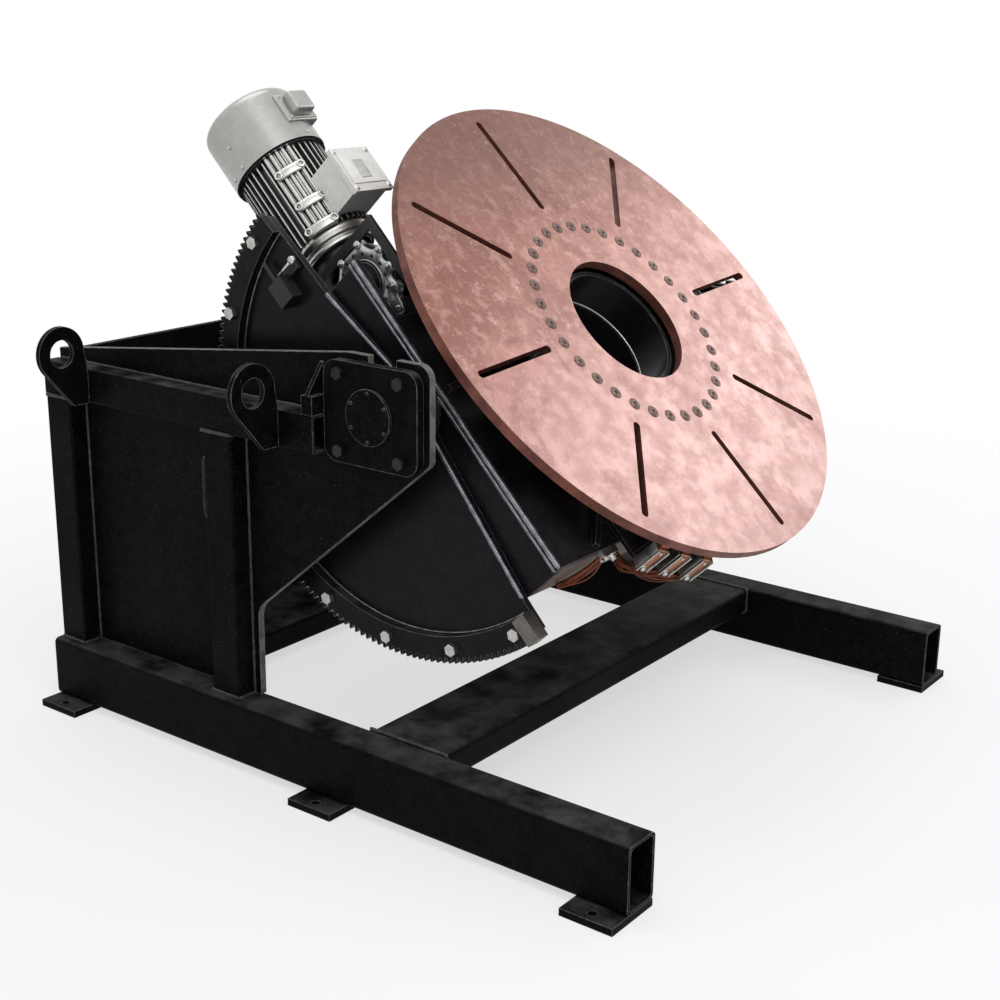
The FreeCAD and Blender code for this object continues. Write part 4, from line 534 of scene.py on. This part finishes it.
def rounded_block(centre, half, axes, radius, steps=5):
    """A block with round edges: a ball of the edge radius, its eight eighths pushed out to the corners."""
    quarter, hair = np.pi / 2, 0.002  # a hair off the axes, so that every point has a side
    around = np.concatenate(
        [np.linspace(q + hair, q + quarter - hair, steps) for q in np.arange(4) * quarter]
    )
    up = np.concatenate([np.linspace(-quarter, -hair, steps), np.linspace(hair, quarter, steps)])
    a, e = np.meshgrid(around, up)
    ball = np.stack([np.cos(e) * np.cos(a), np.cos(e) * np.sin(a), np.sin(e)], -1)
    sign = np.stack([np.sign(np.cos(a)), np.sign(np.sin(a)), np.sign(e)], -1)
    local = ball * radius + sign * (np.asarray(half) - radius)
    closing = np.zeros((1, local.shape[1], 3)) + (0.0, 0.0, half[2])
    local = np.concatenate([-closing, local, closing])
    return centre + local @ np.asarray(axes), False, True


def weld_bead(path, radius, pitch=0.0065, sides=7):
    """A rippled bead: a round section carried along the path, which swells once a ripple."""
    path = np.asarray(path, float)
    reach = np.concatenate([[0.0], np.cumsum(np.linalg.norm(np.diff(path, axis=0), axis=1))])
    count = max(6, int(reach[-1] / (pitch / 3.0)))
    along = np.linspace(0.0, reach[-1], count)
    line = np.stack([np.interp(along, reach, path[:, k]) for k in range(3)], -1)
    ahead = unit(np.gradient(line, axis=0))
    slanting = unit(np.array([0.31, 0.47, 0.83]))  # along none of the seams
    aside = unit(np.cross(ahead, slanting))
    above = np.cross(ahead, aside)
    angle = np.linspace(0.0, 2 * np.pi, sides, endpoint=False)
    wave = np.abs(np.sin(np.pi * along / pitch))
    ends = np.clip(np.minimum(along, reach[-1] - along) / radius, 0.02, 1.0) ** 0.5
    wander = 1.0 + 0.08 * np.sin(along * 61.0) + 0.05 * np.sin(along * 173.0 + 1.0)
    size = radius * (0.82 + 0.26 * wave) * ends * wander
    ring = np.cos(angle)[None, :, None] * aside[:, None] + np.sin(angle)[None, :, None] * above[:, None]
    return line[:, None] + size[:, None, None] * ring, False, True


def hexagon_bolt(centre, axis, size, length):
    """A hexagon bolt head: six sides, its top turned down to a washer face, with a thin flange under it."""
    reach = size / math.cos(math.pi / 6) / 2
    rim, thick = size * 0.62, length * 0.18
    flange = turned([(rim, 0.0), (rim, thick), (0.0, thick)], centre, axis, 20)
    head = [(reach, thick), (reach, length * 0.86), (reach * 0.86, length), (0.0, length)]
    return [flange, turned(head, centre, axis, 6)]


# ---------------------------------------------------------------- welds
FRAME_BEAD = 0.0055
REAR_MARGIN = 0.008  # room for a bead inside the machine's rear limit


def rectangle_path(low, high, height, axis=2):
    """The outline of a box's section at one height."""
    one, two = [k for k in range(3) if k != axis]
    spots = [(low, low), (high, low), (high, high), (low, high), (low, low)]
    path = np.zeros((5, 3))
    path[:, axis] = height
    for row, (a, b) in enumerate(spots):
        path[row, one], path[row, two] = a[one], b[two]
    return path


def frame_weld_paths(side):
    """Where the left or right half of the frame is welded, kept in from the rear limit."""
    sign = -1 if side == "left" else 1
    paths = []
    _, skid_high = corners(f"skid_{side}")
    plate_low, plate_high = corners(f"side_plate_{side}")
    rail_low, rail_high = corners(f"rail_{side}")
    for end in ("front", "rear"):
        low, high = corners(f"post_{side}_{end}")
        paths.append(rectangle_path(low, high, skid_high[2]))
        paths.append(rectangle_path(low, high, rail_low[2]))
    outer = plate_low[0] if sign < 0 else plate_high[0]
    inner = plate_high[0] if sign < 0 else plate_low[0]
    front_low, front_high = corners(f"post_{side}_front")
    rear_low, _ = corners(f"post_{side}_rear")
    for y in (front_low[1], front_high[1], rear_low[1]):
        paths.append([(outer, y, skid_high[2]), (outer, y, rail_low[2])])
    paths.append([(outer, rail_low[1], rail_high[2]), (outer, rail_high[1], rail_high[2])])
    paths.append([(outer, rail_low[1], rail_low[2]), (outer, front_low[1], rail_low[2])])
    paths.append([(outer, rail_low[1], rail_low[2]), (outer, rail_low[1], rail_high[2])])
    paths.append([(inner, front_low[1], skid_high[2]), (inner, rail_high[1], skid_high[2])])
    for member in ("front", "rear"):
        low, high = corners(f"cross_member_{member}")
        edge = low[0] if sign < 0 else high[0]
        paths.append(rectangle_path(low, high, edge, axis=0))
    reach = (np.inf, CAD_BOX[1][1] - REAR_MARGIN, np.inf)
    return [np.minimum(np.asarray(path, float), reach) for path in paths]


def make_frame_welds():
    """The frame's weld seams, one piece to each side."""
    for side in ("left", "right"):
        beads = [weld_bead(path, FRAME_BEAD) for path in frame_weld_paths(side)]
        put_mesh(f"frame_welds_{side}", "frame", "frame_weld", *gather(beads), slot="frame_paint")


def head_weld_paths(sign):
    """Seams between the head's front plate and its sector plate, on one side, each with its bead's radius."""
    half = head_coordinate("head_front_plate", X)[1]
    low_v, high_v = head_coordinate("head_front_plate", V)
    low_n, high_n = head_coordinate("head_front_plate", N)
    upper_seam_v, upper_seam_n = (high_v - 0.002, 0.105), (-0.027, 0.020)
    lower_seam_v, lower_seam_n = (-0.085, low_v), (0.003, -0.044)
    steps, ring = 120, 0.5965
    angle = np.radians(np.linspace(-4.0, -174.0, steps))
    return [
        (on_head([sign * half] * 2, [low_v, high_v], [low_n, low_n]), 0.0055),
        (on_head([sign * half] * 2, [low_v, high_v], [high_n - 0.004] * 2), 0.0075),
        (on_head([sign * half] * 2, upper_seam_v, upper_seam_n), 0.0065),
        (on_head([sign * half] * 2, lower_seam_v, lower_seam_n), 0.0065),
        (on_head(np.full(steps, sign * half), ring * np.cos(angle), ring * np.sin(angle)), 0.0030),
    ]


def make_head_welds():
    """The head's weld seams."""
    beads = [weld_bead(path, radius) for sign in (-1, 1) for path, radius in head_weld_paths(sign)]
    put_mesh("head_welds", "head", "weld_metal", *gather(beads), slot="head_paint")


# ---------------------------------------------------------------- the rotation drive
MOTOR_X, MOTOR_N = -0.400, -0.147  # where the motor's axis stands on the head


def round_motor(radius, angle, v):
    """A point round the motor's axis: the angle goes from across the head towards out of it."""
    angle = np.radians(np.asarray(angle, float))
    return on_head(MOTOR_X + radius * np.cos(angle), v, MOTOR_N + radius * np.sin(angle))


def away_from_motor(angle):
    """The direction out from the motor's axis at an angle."""
    angle = math.radians(angle)
    return math.cos(angle) * X + math.sin(angle) * N


def head_block(x, v, n, radius):
    """A round-edged block between spans of the head's x, v and n."""
    low, high = np.array([x[0], v[0], n[0]]), np.array([x[1], v[1], n[1]])
    centre = on_head(*((low + high) / 2))
    return rounded_block(centre, (high - low) / 2, (X, V, N), radius)


def screw_head(centre, axis, radius):
    """A pan screw: a low dome over a short rim, closed by a recess in its middle."""
    profile = [(radius, 0.0), (radius, radius * 0.35), (radius * 0.85, radius * 0.62),
               (radius * 0.4, radius * 0.72),
               (radius * 0.34, radius * 0.4), (0.0, radius * 0.36)]
    return turned(profile, centre, axis, 16)


def make_cowl_details():
    """The small cover on the fan cowl, the cowl's screws and its air grille."""
    low_v, high_v = head_coordinate("motor_cowl", V)
    low_x, high_x = head_coordinate("motor_cowl", X)
    reach = (high_x - low_x) / 2
    side = reach - 0.0005
    base = head_block((-0.431, -0.316), (0.925, 1.018), (-0.042, 0.001), 0.006)
    lip = head_block((-0.426, -0.321), (0.930, 1.013), (-0.003, 0.005), 0.004)
    cover = head_block((-0.411, -0.336), (0.940, 1.006), (-0.010, 0.034), 0.010)
    put_mesh("cowl_cover", "head", "cowl_grey", *gather([base, lip, cover]), slot="motor_grey")
    screws = [screw_head(round_motor(side, a, low_v + 0.017), away_from_motor(a), 0.0055)
              for a in (84, 179, -158, -60, 20)]
    screws += [screw_head(on_head(x, v, 0.005), N, 0.004) for x in (-0.420, -0.327) for v in (0.936, 1.007)]
    screws.append(screw_head(round_motor(side, 179, low_v + 0.087), away_from_motor(179), 0.0055))
    put_mesh("cowl_screws", "head", "zinc", *gather(screws))
    rings = []
    for radius in np.linspace(0.022, reach - 0.040, 7):
        wire = [(radius - 0.0022, 0.0), (radius - 0.0014, 0.0018), (radius + 0.0014, 0.0018),
                (radius + 0.0022, 0.0)]
        rings.append(turned(wire, on_head(MOTOR_X, high_v, MOTOR_N), V, 48, X))
    put_mesh("cowl_grille", "head", "blackened", *gather(rings), slot="motor_grey")


def make_foot_pads():
    """The motor's foot pads: round ribs along the frame and cross pads with bosses over them."""
    rib_circle, rib, boss_circle = 0.1305, 0.0062, 0.131
    parts = []
    for angle in (119, 127, 135, 143, 151):
        v = np.linspace(0.606, 0.868, 3)
        around = np.linspace(0.0, 2 * np.pi, 12, endpoint=False)
        centre = round_motor(rib_circle, angle, v)
        aside = np.cross(V, away_from_motor(angle))
        ring = np.cos(around)[None, :, None] * away_from_motor(angle) + np.sin(around)[None, :, None] * aside
        parts.append((centre[:, None] + rib * ring, False, True))
    for v, first, last in ((0.795, 118, 149), (0.688, 116, 149), (0.611, 120, 156)):
        steps = np.linspace(first, last, 9)
        profile = [(0.128, -0.014), (0.140, -0.014), (0.1425, -0.011), (0.1425, 0.011), (0.140, 0.014),
                   (0.128, 0.014)]
        grid = np.stack([round_motor(radius, steps, v + rise_v) for radius, rise_v in profile], 1)
        parts.append((grid, False, True))
        for angle in (first + 1, last - 1):
            boss = [(0.0125, -0.012), (0.0125, 0.013), (0.011, 0.015), (0.0065, 0.015), (0.006, 0.005),
                    (0.0, 0.005)]
            parts.append(turned(boss, round_motor(boss_circle, angle, v), away_from_motor(angle), 20))
    put_mesh("motor_foot_pads", "head", "motor_grey", *gather(parts))


def make_terminal_details():
    """The terminal box's raised lid panel, its screws on their pads, and a bare plate."""
    low_x, high_x = head_coordinate("terminal_box", X)
    low_v, high_v = head_coordinate("terminal_box", V)
    top = head_coordinate("terminal_box", N)[1]
    inset = 0.011
    spots = [(x, v) for x in (low_x + inset, high_x - inset) for v in (low_v + inset, high_v - inset)]
    pad = [(0.0085, -0.002), (0.0085, 0.0012), (0.0, 0.0014)]
    pads = [turned(pad, on_head(x, v, top), N, 20) for x, v in spots]
    panel = head_block((low_x + 0.012, high_x - 0.012), (low_v + 0.024, high_v - 0.024),
                       (top - 0.004, top + 0.0022), 0.0018)
    put_mesh("terminal_lid_relief", "head", "box_grey", *gather([*pads, panel]), slot="motor_grey")
    screws = [screw_head(on_head(x, v, top + 0.001), N, 0.0052) for x, v in spots]
    put_mesh("terminal_screws", "head", "zinc", *gather(screws))
    x, v = (low_x + high_x) / 2, (low_v + high_v) / 2
    plate = head_block((x - 0.020, x + 0.020), (v - 0.030, v + 0.030), (top + 0.0018, top + 0.0032), 0.0006)
    put_mesh("bare_plate", "head", "zinc", *gather([plate]))


def make_drive_flange_bolts():
    """Bolts on the motor's flange and on the reducer's input flange."""
    motor_circle, motor_v = 0.106, 0.584
    input_circle, input_v = 0.092, 0.520
    bolts = []
    for angle in np.arange(20, 360, 45):
        bolts += hexagon_bolt(round_motor(motor_circle, angle, motor_v), -V, 0.013, 0.009)
        bolts += hexagon_bolt(round_motor(input_circle, angle, input_v), V, 0.012, 0.008)
    put_mesh("drive_flange_bolts", "head", "zinc", *gather(bolts))


def make_motor_rings():
    """The turned steps of the flange under the motor, and a black ring of painted shade in the gap between
    its fins and its cowl.
    """
    axis_foot = on_head(MOTOR_X, 0.0, MOTOR_N)
    steps = [(0.098, 0.553), (0.110, 0.553), (0.112, 0.556), (0.112, 0.566), (0.110, 0.568), (0.110, 0.572),
             (0.117, 0.573), (0.1195, 0.576), (0.1195, 0.584), (0.1215, 0.586), (0.1215, 0.598),
             (0.1195, 0.6005),
             (0.116, 0.6015)]
    put_mesh("motor_flange_rings", "head", "zinc", *gather([turned(steps, axis_foot, V, 96)]))
    # painted shade: a black ring filling the gap
    gap = [(0.1395, 0.872), (0.1330, 0.872), (0.1330, 0.864), (0.1395, 0.864)]
    put_mesh("cowl_gap", "head", "blackened", *gather([turned(gap, axis_foot, V, 96)]), slot="motor_grey")


BRUSH_CIRCLE, BRUSH_PITCH, TABLE_V = 0.728, 0.077, -0.032
BRUSH_ANGLE = math.radians(-117.6)
BRUSH_OUT = math.cos(BRUSH_ANGLE) * X + math.sin(BRUSH_ANGLE) * V
BRUSH_ROW = -math.sin(BRUSH_ANGLE) * X + math.cos(BRUSH_ANGLE) * V


def brush_point(out, along, n):
    """A point by the brushes: outwards from the table's middle, along their row, and out of the head."""
    return on_head(0.0, TABLE_V, n) + out * BRUSH_OUT + along * BRUSH_ROW


def make_holder_details():
    """Bright guide rails, a pressure plate, a bolt on its washer and a screw on each brush holder."""
    axes = (BRUSH_OUT, BRUSH_ROW, N)
    rails, plates, bolts = [], [], []
    for k in (-1, 0, 1):
        row = k * BRUSH_PITCH
        for side in (-0.0165, 0.0165):
            rails.append(rounded_block(brush_point(0.7445, row + side, 0.158), (0.0045, 0.0022, 0.046),
                                       axes, 0.0014))
            rails.append(rounded_block(brush_point(BRUSH_CIRCLE, row + side * 1.11, 0.158),
                                       (0.013, 0.0012, 0.044), axes, 0.001))
        plates.append(rounded_block(brush_point(0.7425, row, 0.165), (0.0015, 0.0095, 0.032), axes, 0.0008))
        spot = brush_point(0.742, row, 0.119)
        bolts += hexagon_bolt(spot, BRUSH_OUT, 0.013, 0.007)
        bolts.append(turned([(0.0105, 0.0), (0.0105, 0.0015), (0.0, 0.0015)], spot, BRUSH_OUT, 24))
        bolts.append(screw_head(brush_point(0.7438, row, 0.190), BRUSH_OUT, 0.0045))
    put_mesh("holder_rails", "head", "zinc", *gather(rails))
    put_mesh("holder_plates", "head", "copper", *gather(plates))
    put_mesh("holder_bolts", "head", "zinc", *gather(bolts))


def sagging(start, middle, end, steps=26):
    """Points of a lead's sagging line, bent through its middle."""
    t = np.linspace(0.0, 1.0, steps)[:, None]
    bend = 2.0 * np.asarray(middle) - 0.5 * (np.asarray(start) + np.asarray(end))
    return (1 - t) ** 2 * start + 2 * t * (1 - t) * bend + t**2 * end


def make_loose_strands():
    """Loose copper strands along the braids from the holders to the clamp, and frayed ends at the strap."""
    random = np.random.default_rng(7)
    clamp = on_head(-0.440, -0.575, 0.096)
    strands = []
    for k in (-1, 0, 1):
        end = brush_point(0.7395, k * BRUSH_PITCH, 0.121)
        for _ in range(5):
            spread = random.normal(0.0, 0.006, (3, 3))
            spread[:, 2] -= 0.003
            middle = (clamp + end) / 2 - N * (0.024 + 0.006 * k) - V * 0.010
            path = sagging(clamp + spread[0], middle + 1.6 * spread[1], end + 0.5 * spread[2])
            strands.append(weld_bead(path, float(random.uniform(0.0012, 0.0021)), 0.009, 6))
    low = on_head(-0.572, -0.578, -0.018)
    for _ in range(7):
        spread = random.normal(0.0, 0.006, (3, 3))
        spread[:, 1] = -np.abs(spread[:, 1])
        middle = (clamp + low) / 2 - V * 0.012 + 1.4 * spread[1]
        path = sagging(clamp + spread[0] - 0.05 * X, middle - 0.01 * X, low + spread[2])
        strands.append(weld_bead(path, float(random.uniform(0.0014, 0.0026)), 0.009, 6))
    put_mesh("braid_strands", "head", "braid_copper", *gather(strands), slot="copper")


def make_switch_lever():
    """The limit switch's bright roller lever."""
    rod = turned([(0.0, 0.0), (0.0042, 0.0), (0.0042, 0.066), (0.0, 0.066)],
                 on_head(-0.712, 0.503, -0.101), N, 16)
    roller = turned([(0.0, -0.005), (0.010, -0.005), (0.011, 0.0), (0.010, 0.005), (0.0, 0.005)],
                    on_head(-0.712, 0.503, -0.036), X, 28)
    put_mesh("switch_lever", "head", "zinc", *gather([rod, roller]))


def make_clamp_details():
    """Bolts, washers and lugs where the braids meet on the head's lower edge."""
    bolts = []
    for x, v, n in ((-0.474, -0.586, 0.106), (-0.452, -0.588, 0.090)):
        bolts += hexagon_bolt(on_head(x, v, n), -V, 0.016, 0.011)
        bolts.append(turned([(0.0135, 0.0), (0.0135, 0.002), (0.0, 0.002)], on_head(x, v, n), -V, 24))
    bolts.append(head_block((-0.500, -0.436), (-0.590, -0.580), (0.082, 0.090), 0.002))
    put_mesh("clamp_bolts", "head", "zinc", *gather(bolts))


SCREWS, SCREW_CIRCLE, FIRST_SCREW = 32, 0.3236, math.radians(3.9)


def make_screw_seats():
    """A turned seat, a domed washer face and a black hexagon of painted shade for the socket, at each of the
    table's screws.
    """
    top = head_coordinate("table_plate", N)[1]
    seats, sockets = [], []
    seat = [(0.0172, 0.0002), (0.0165, 0.0014), (0.0150, 0.0016), (0.0128, 0.0003), (0.0120, 0.0003),
            (0.0116, 0.0022), (0.0104, 0.0028), (0.0060, 0.0028), (0.0054, 0.0014), (0.0, 0.0012)]
    socket = [(0.0050, 0.0015), (0.0050, 0.0018), (0.0, 0.0018)]
    for angle in np.arange(SCREWS) * 2 * np.pi / SCREWS + FIRST_SCREW:
        spot = on_head(SCREW_CIRCLE * math.cos(angle), TABLE_V + SCREW_CIRCLE * math.sin(angle), top)
        seats.append(turned(seat, spot, N, 24))
        # painted shade: a black hexagon for the socket recess
        sockets.append(turned(socket, spot, N, 6))
    put_mesh("screw_seats", "table", "screw_steel", *gather(seats), slot="zinc")
    put_mesh("screw_socket_shades", "table", "blackened", *gather(sockets), slot="zinc")


def make_bore_ring():
    """The bright turned edge inside the head's bore."""
    middle = on_head(0.0, TABLE_V, 0.0)
    ring = [(0.1799, 0.0955), (0.1782, 0.0962), (0.1782, 0.0988), (0.1799, 0.0995)]
    put_mesh("bore_edge", "head", "zinc", *gather([turned(ring, middle, N, 128)]))


FACE_V, FACE_N = 0.393, -0.032
FACE_RADIUS, LOBE_INSET = 0.094, 0.013
LOBES = (-18, 30, 72, 101, 131)


def face_outline(angle):
    """The cast face's outline: its ring radius plus a round bump at each lobe, the largest at the foot."""
    radius = np.full_like(angle, FACE_RADIUS)
    for where, height, width in ((-18, 0.012, 9), (30, 0.022, 9), (72, 0.028, 8), (101, 0.022, 9),
                                 (131, 0.024, 9),
                                 (158, 0.052, 15), (205, 0.014, 9), (250, 0.014, 9), (300, 0.014, 9)):
        off = (np.degrees(angle) - where + 180.0) % 360.0 - 180.0
        radius = radius + height * np.exp(-((off / width) ** 2))
    return radius


def face_point(radius, angle, x):
    """A point of the reducer's face, round its own centre."""
    return on_head(x, FACE_V + radius * np.cos(angle), FACE_N + radius * np.sin(angle))


def lobe_point(where, x):
    """The middle of a bolt lobe, a set distance inside the face's outline."""
    angle = math.radians(where)
    return face_point(face_outline(np.array([angle]))[0] - LOBE_INSET, angle, x)


def make_reducer_face():
    """The reducer's cast face: a lobed plate with a bored middle, a turned rim, a black cap and its bolts."""
    flat, steps = -0.509, 180
    angle = np.linspace(0.0, 2 * np.pi, steps, endpoint=False)
    outer = face_outline(angle)
    front = flat - 0.009
    rows = [(outer, flat + 0.012), (outer, front + 0.003), (outer - 0.003, front),
            (np.full(steps, 0.070), front),
            (np.full(steps, 0.067), front + 0.003), (np.full(steps, 0.066), flat + 0.002)]
    grid = np.stack([face_point(radius, angle, np.full(steps, x)) for radius, x in rows], 0)
    boss = [(0.012, 0.004), (0.012, -0.003), (0.009, -0.005), (0.0, -0.005)]
    lobes = [turned(boss, lobe_point(where, front), X, 20) for where in LOBES]
    rim = turned([(0.0665, 0.006), (0.0665, -0.004), (0.0640, -0.007), (0.0600, -0.007), (0.0580, 0.0)],
                 face_point(0.0, 0.0, flat), X, 96)
    ribs = []
    for where in (-60, 165, 225, 275):
        a = math.radians(where)
        axes = (X, math.cos(a) * V + math.sin(a) * N, -math.sin(a) * V + math.cos(a) * N)
        ribs.append(rounded_block(face_point(0.085, a, front - 0.001), (0.004, 0.016, 0.004), axes, 0.003))
    put_mesh("reducer_face", "head", "reducer_aluminium", *gather([(grid, False, True), rim, *lobes, *ribs]))
    cap = turned([(0.0575, 0.004), (0.0575, -0.005), (0.052, -0.008), (0.016, -0.010), (0.014, -0.014),
                  (0.0, -0.014)],
                 face_point(0.0, 0.0, flat - 0.006), X, 64)
    put_mesh("reducer_cap", "head", "head_paint", *gather([cap]))
    bolts = []
    for where in (*LOBES, 156, 205, 250, 300):
        bolts += hexagon_bolt(lobe_point(where, front - 0.004), -X, 0.011, 0.007)
    put_mesh("reducer_bolts", "head", "zinc", *gather(bolts))
    # painted shade: black discs for the tapped holes
    hole_shades = [turned([(0.0052, 0.0004), (0.0052, -0.0006), (0.0, -0.0006)],
                    face_point(0.080, math.radians(where), front), X, 14) for where in range(-10, 350, 24)]
    put_mesh("reducer_hole_shades", "head", "blackened", *gather(hole_shades), slot="reducer_aluminium")


# ---------------------------------------------------------------- floor, light, camera
def shown_directly(tree):
    """1 on the rays that show the background itself, straight on, mirrored or through glass, else 0."""
    path = add(tree, "ShaderNodeLightPath").outputs
    seen = calc(tree, "MAXIMUM", path["Is Camera Ray"], path["Is Glossy Ray"])
    return calc(tree, "MAXIMUM", seen, path["Is Transmission Ray"])


def make_floor():
    """A wide pale floor that fades to plain white far out and keeps the machine's shadow."""
    reach, rings, spokes, drop = 40.0, 9, 48, 0.0005
    centre = (np.array(CAD_BOX[0]) + np.array(CAD_BOX[1])) / 2
    radius = np.linspace(0.0, reach, rings)
    angle = np.linspace(0.0, 2 * np.pi, spokes, endpoint=False)
    r, a = np.meshgrid(radius, angle, indexing="ij")
    height = np.full_like(r, CAD_BOX[0][2] - drop)
    grid = np.stack([centre[0] + r * np.cos(a), centre[1] + r * np.sin(a), height], -1)
    mesh = bpy.data.meshes.new("floor")
    mesh.from_pydata(grid.reshape(-1, 3).tolist(), [], grid_faces(rings, spokes, close_columns=True).tolist())
    material, tree, shader, place = new_material("floor_pale", Roughness=0.9, Specular_IOR_Level=0.1)
    shade = noise(tree, place, 1.6, 3.0)
    feed(tree, shader, Base_Color=tint(tree, shade, ink(243, 243, 243), ink(247, 247, 247)))
    away = add(tree, "ShaderNodeVectorMath", {0: place}, operation="LENGTH").outputs["Value"]
    far = rise(tree, away, 0.6, 4.5, 0.62, 1.0)
    white = add(tree, "ShaderNodeEmission", {"Color": (1.0, 1.0, 1.0, 1.0), "Strength": 1.0}).outputs[0]
    sockets = {0: calc(tree, "MULTIPLY", far, shown_directly(tree)), 1: shader.outputs[0], 2: white}
    mixed = add(tree, "ShaderNodeMixShader", sockets).outputs[0]
    tree.links.new(mixed, tree.nodes["Material Output"].inputs["Surface"])
    mesh.materials.append(material)
    floor = bpy.data.objects.new("floor", mesh)
    bpy.context.scene.collection.objects.link(floor)


def make_world():
    """A plain pale surround: white where it is seen or mirrored, softer where it lights the machine."""
    world = bpy.data.worlds.new("studio")
    bpy.context.scene.world = world
    world.use_nodes = True
    tree = world.node_tree
    strength = rise(tree, shown_directly(tree), 0.0, 1.0, 0.55, 1.0)
    tree.links.new(strength, tree.nodes["Background"].inputs["Strength"])
    tree.nodes["Background"].inputs["Color"].default_value = (1.0, 1.0, 1.0, 1.0)


def make_lamp(name, direction, distance, size, strength):
    """A soft rectangular lamp that looks at the machine's middle."""
    middle = Vector((np.array(CAD_BOX[0]) + np.array(CAD_BOX[1])) / 2)
    away = Vector(direction).normalized()
    lamp = bpy.data.lights.new(name, "AREA")
    lamp.shape, lamp.size, lamp.size_y, lamp.energy = "RECTANGLE", size[0], size[1], strength
    item = bpy.data.objects.new(name, lamp)
    item.location = middle + away * distance
    item.rotation_euler = away.to_track_quat("Z", "Y").to_euler()
    bpy.context.scene.collection.objects.link(item)


def make_camera(azimuth, elevation, roll, target, distance, lens):
    """The camera: round the machine from the front by the azimuth, up by the elevation, turned by roll."""
    a, e, r = (math.radians(value) for value in (azimuth, elevation, roll))
    back = Vector((math.sin(a) * math.cos(e), -math.cos(a) * math.cos(e), math.sin(e)))
    right = (-back).cross(Vector((0, 0, 1))).normalized()
    up = right.cross(-back)
    across = math.cos(r) * right + math.sin(r) * up
    above = -math.sin(r) * right + math.cos(r) * up
    data = bpy.data.cameras.new("camera")
    data.lens, data.sensor_width = lens, 36.0
    item = bpy.data.objects.new("camera", data)
    item.matrix_world = Matrix.Translation(Vector(target) + back * distance) @ Matrix(
        (across, above, back)
    ).transposed().to_4x4()
    bpy.context.scene.collection.objects.link(item)
    bpy.context.scene.camera = item


# ---------------------------------------------------------------- making
dress_nodes()
make_frame_welds()
make_head_welds()
make_cowl_details()
make_foot_pads()
make_terminal_details()
make_drive_flange_bolts()
make_reducer_face()
make_motor_rings()
make_holder_details()
make_loose_strands()
make_clamp_details()
make_switch_lever()
make_screw_seats()
make_bore_ring()
make_floor()
make_world()
make_lamp("key_lamp", (-0.55, -0.65, 0.85), 4.5, (3.0, 3.0), 60.0)
make_lamp("side_lamp", (0.80, -0.35, 0.50), 4.5, (3.0, 2.2), 38.0)
make_lamp("top_lamp", (-0.1, 0.3, 1.0), 4.5, (3.0, 3.0), 55.0)
make_camera(
    azimuth=-53.05, elevation=16.9, roll=0.6855, target=(0.0819, 0.0949, 0.583), distance=4.945, lens=57.636
)
bpy.context.scene.view_settings.view_transform = "Standard"
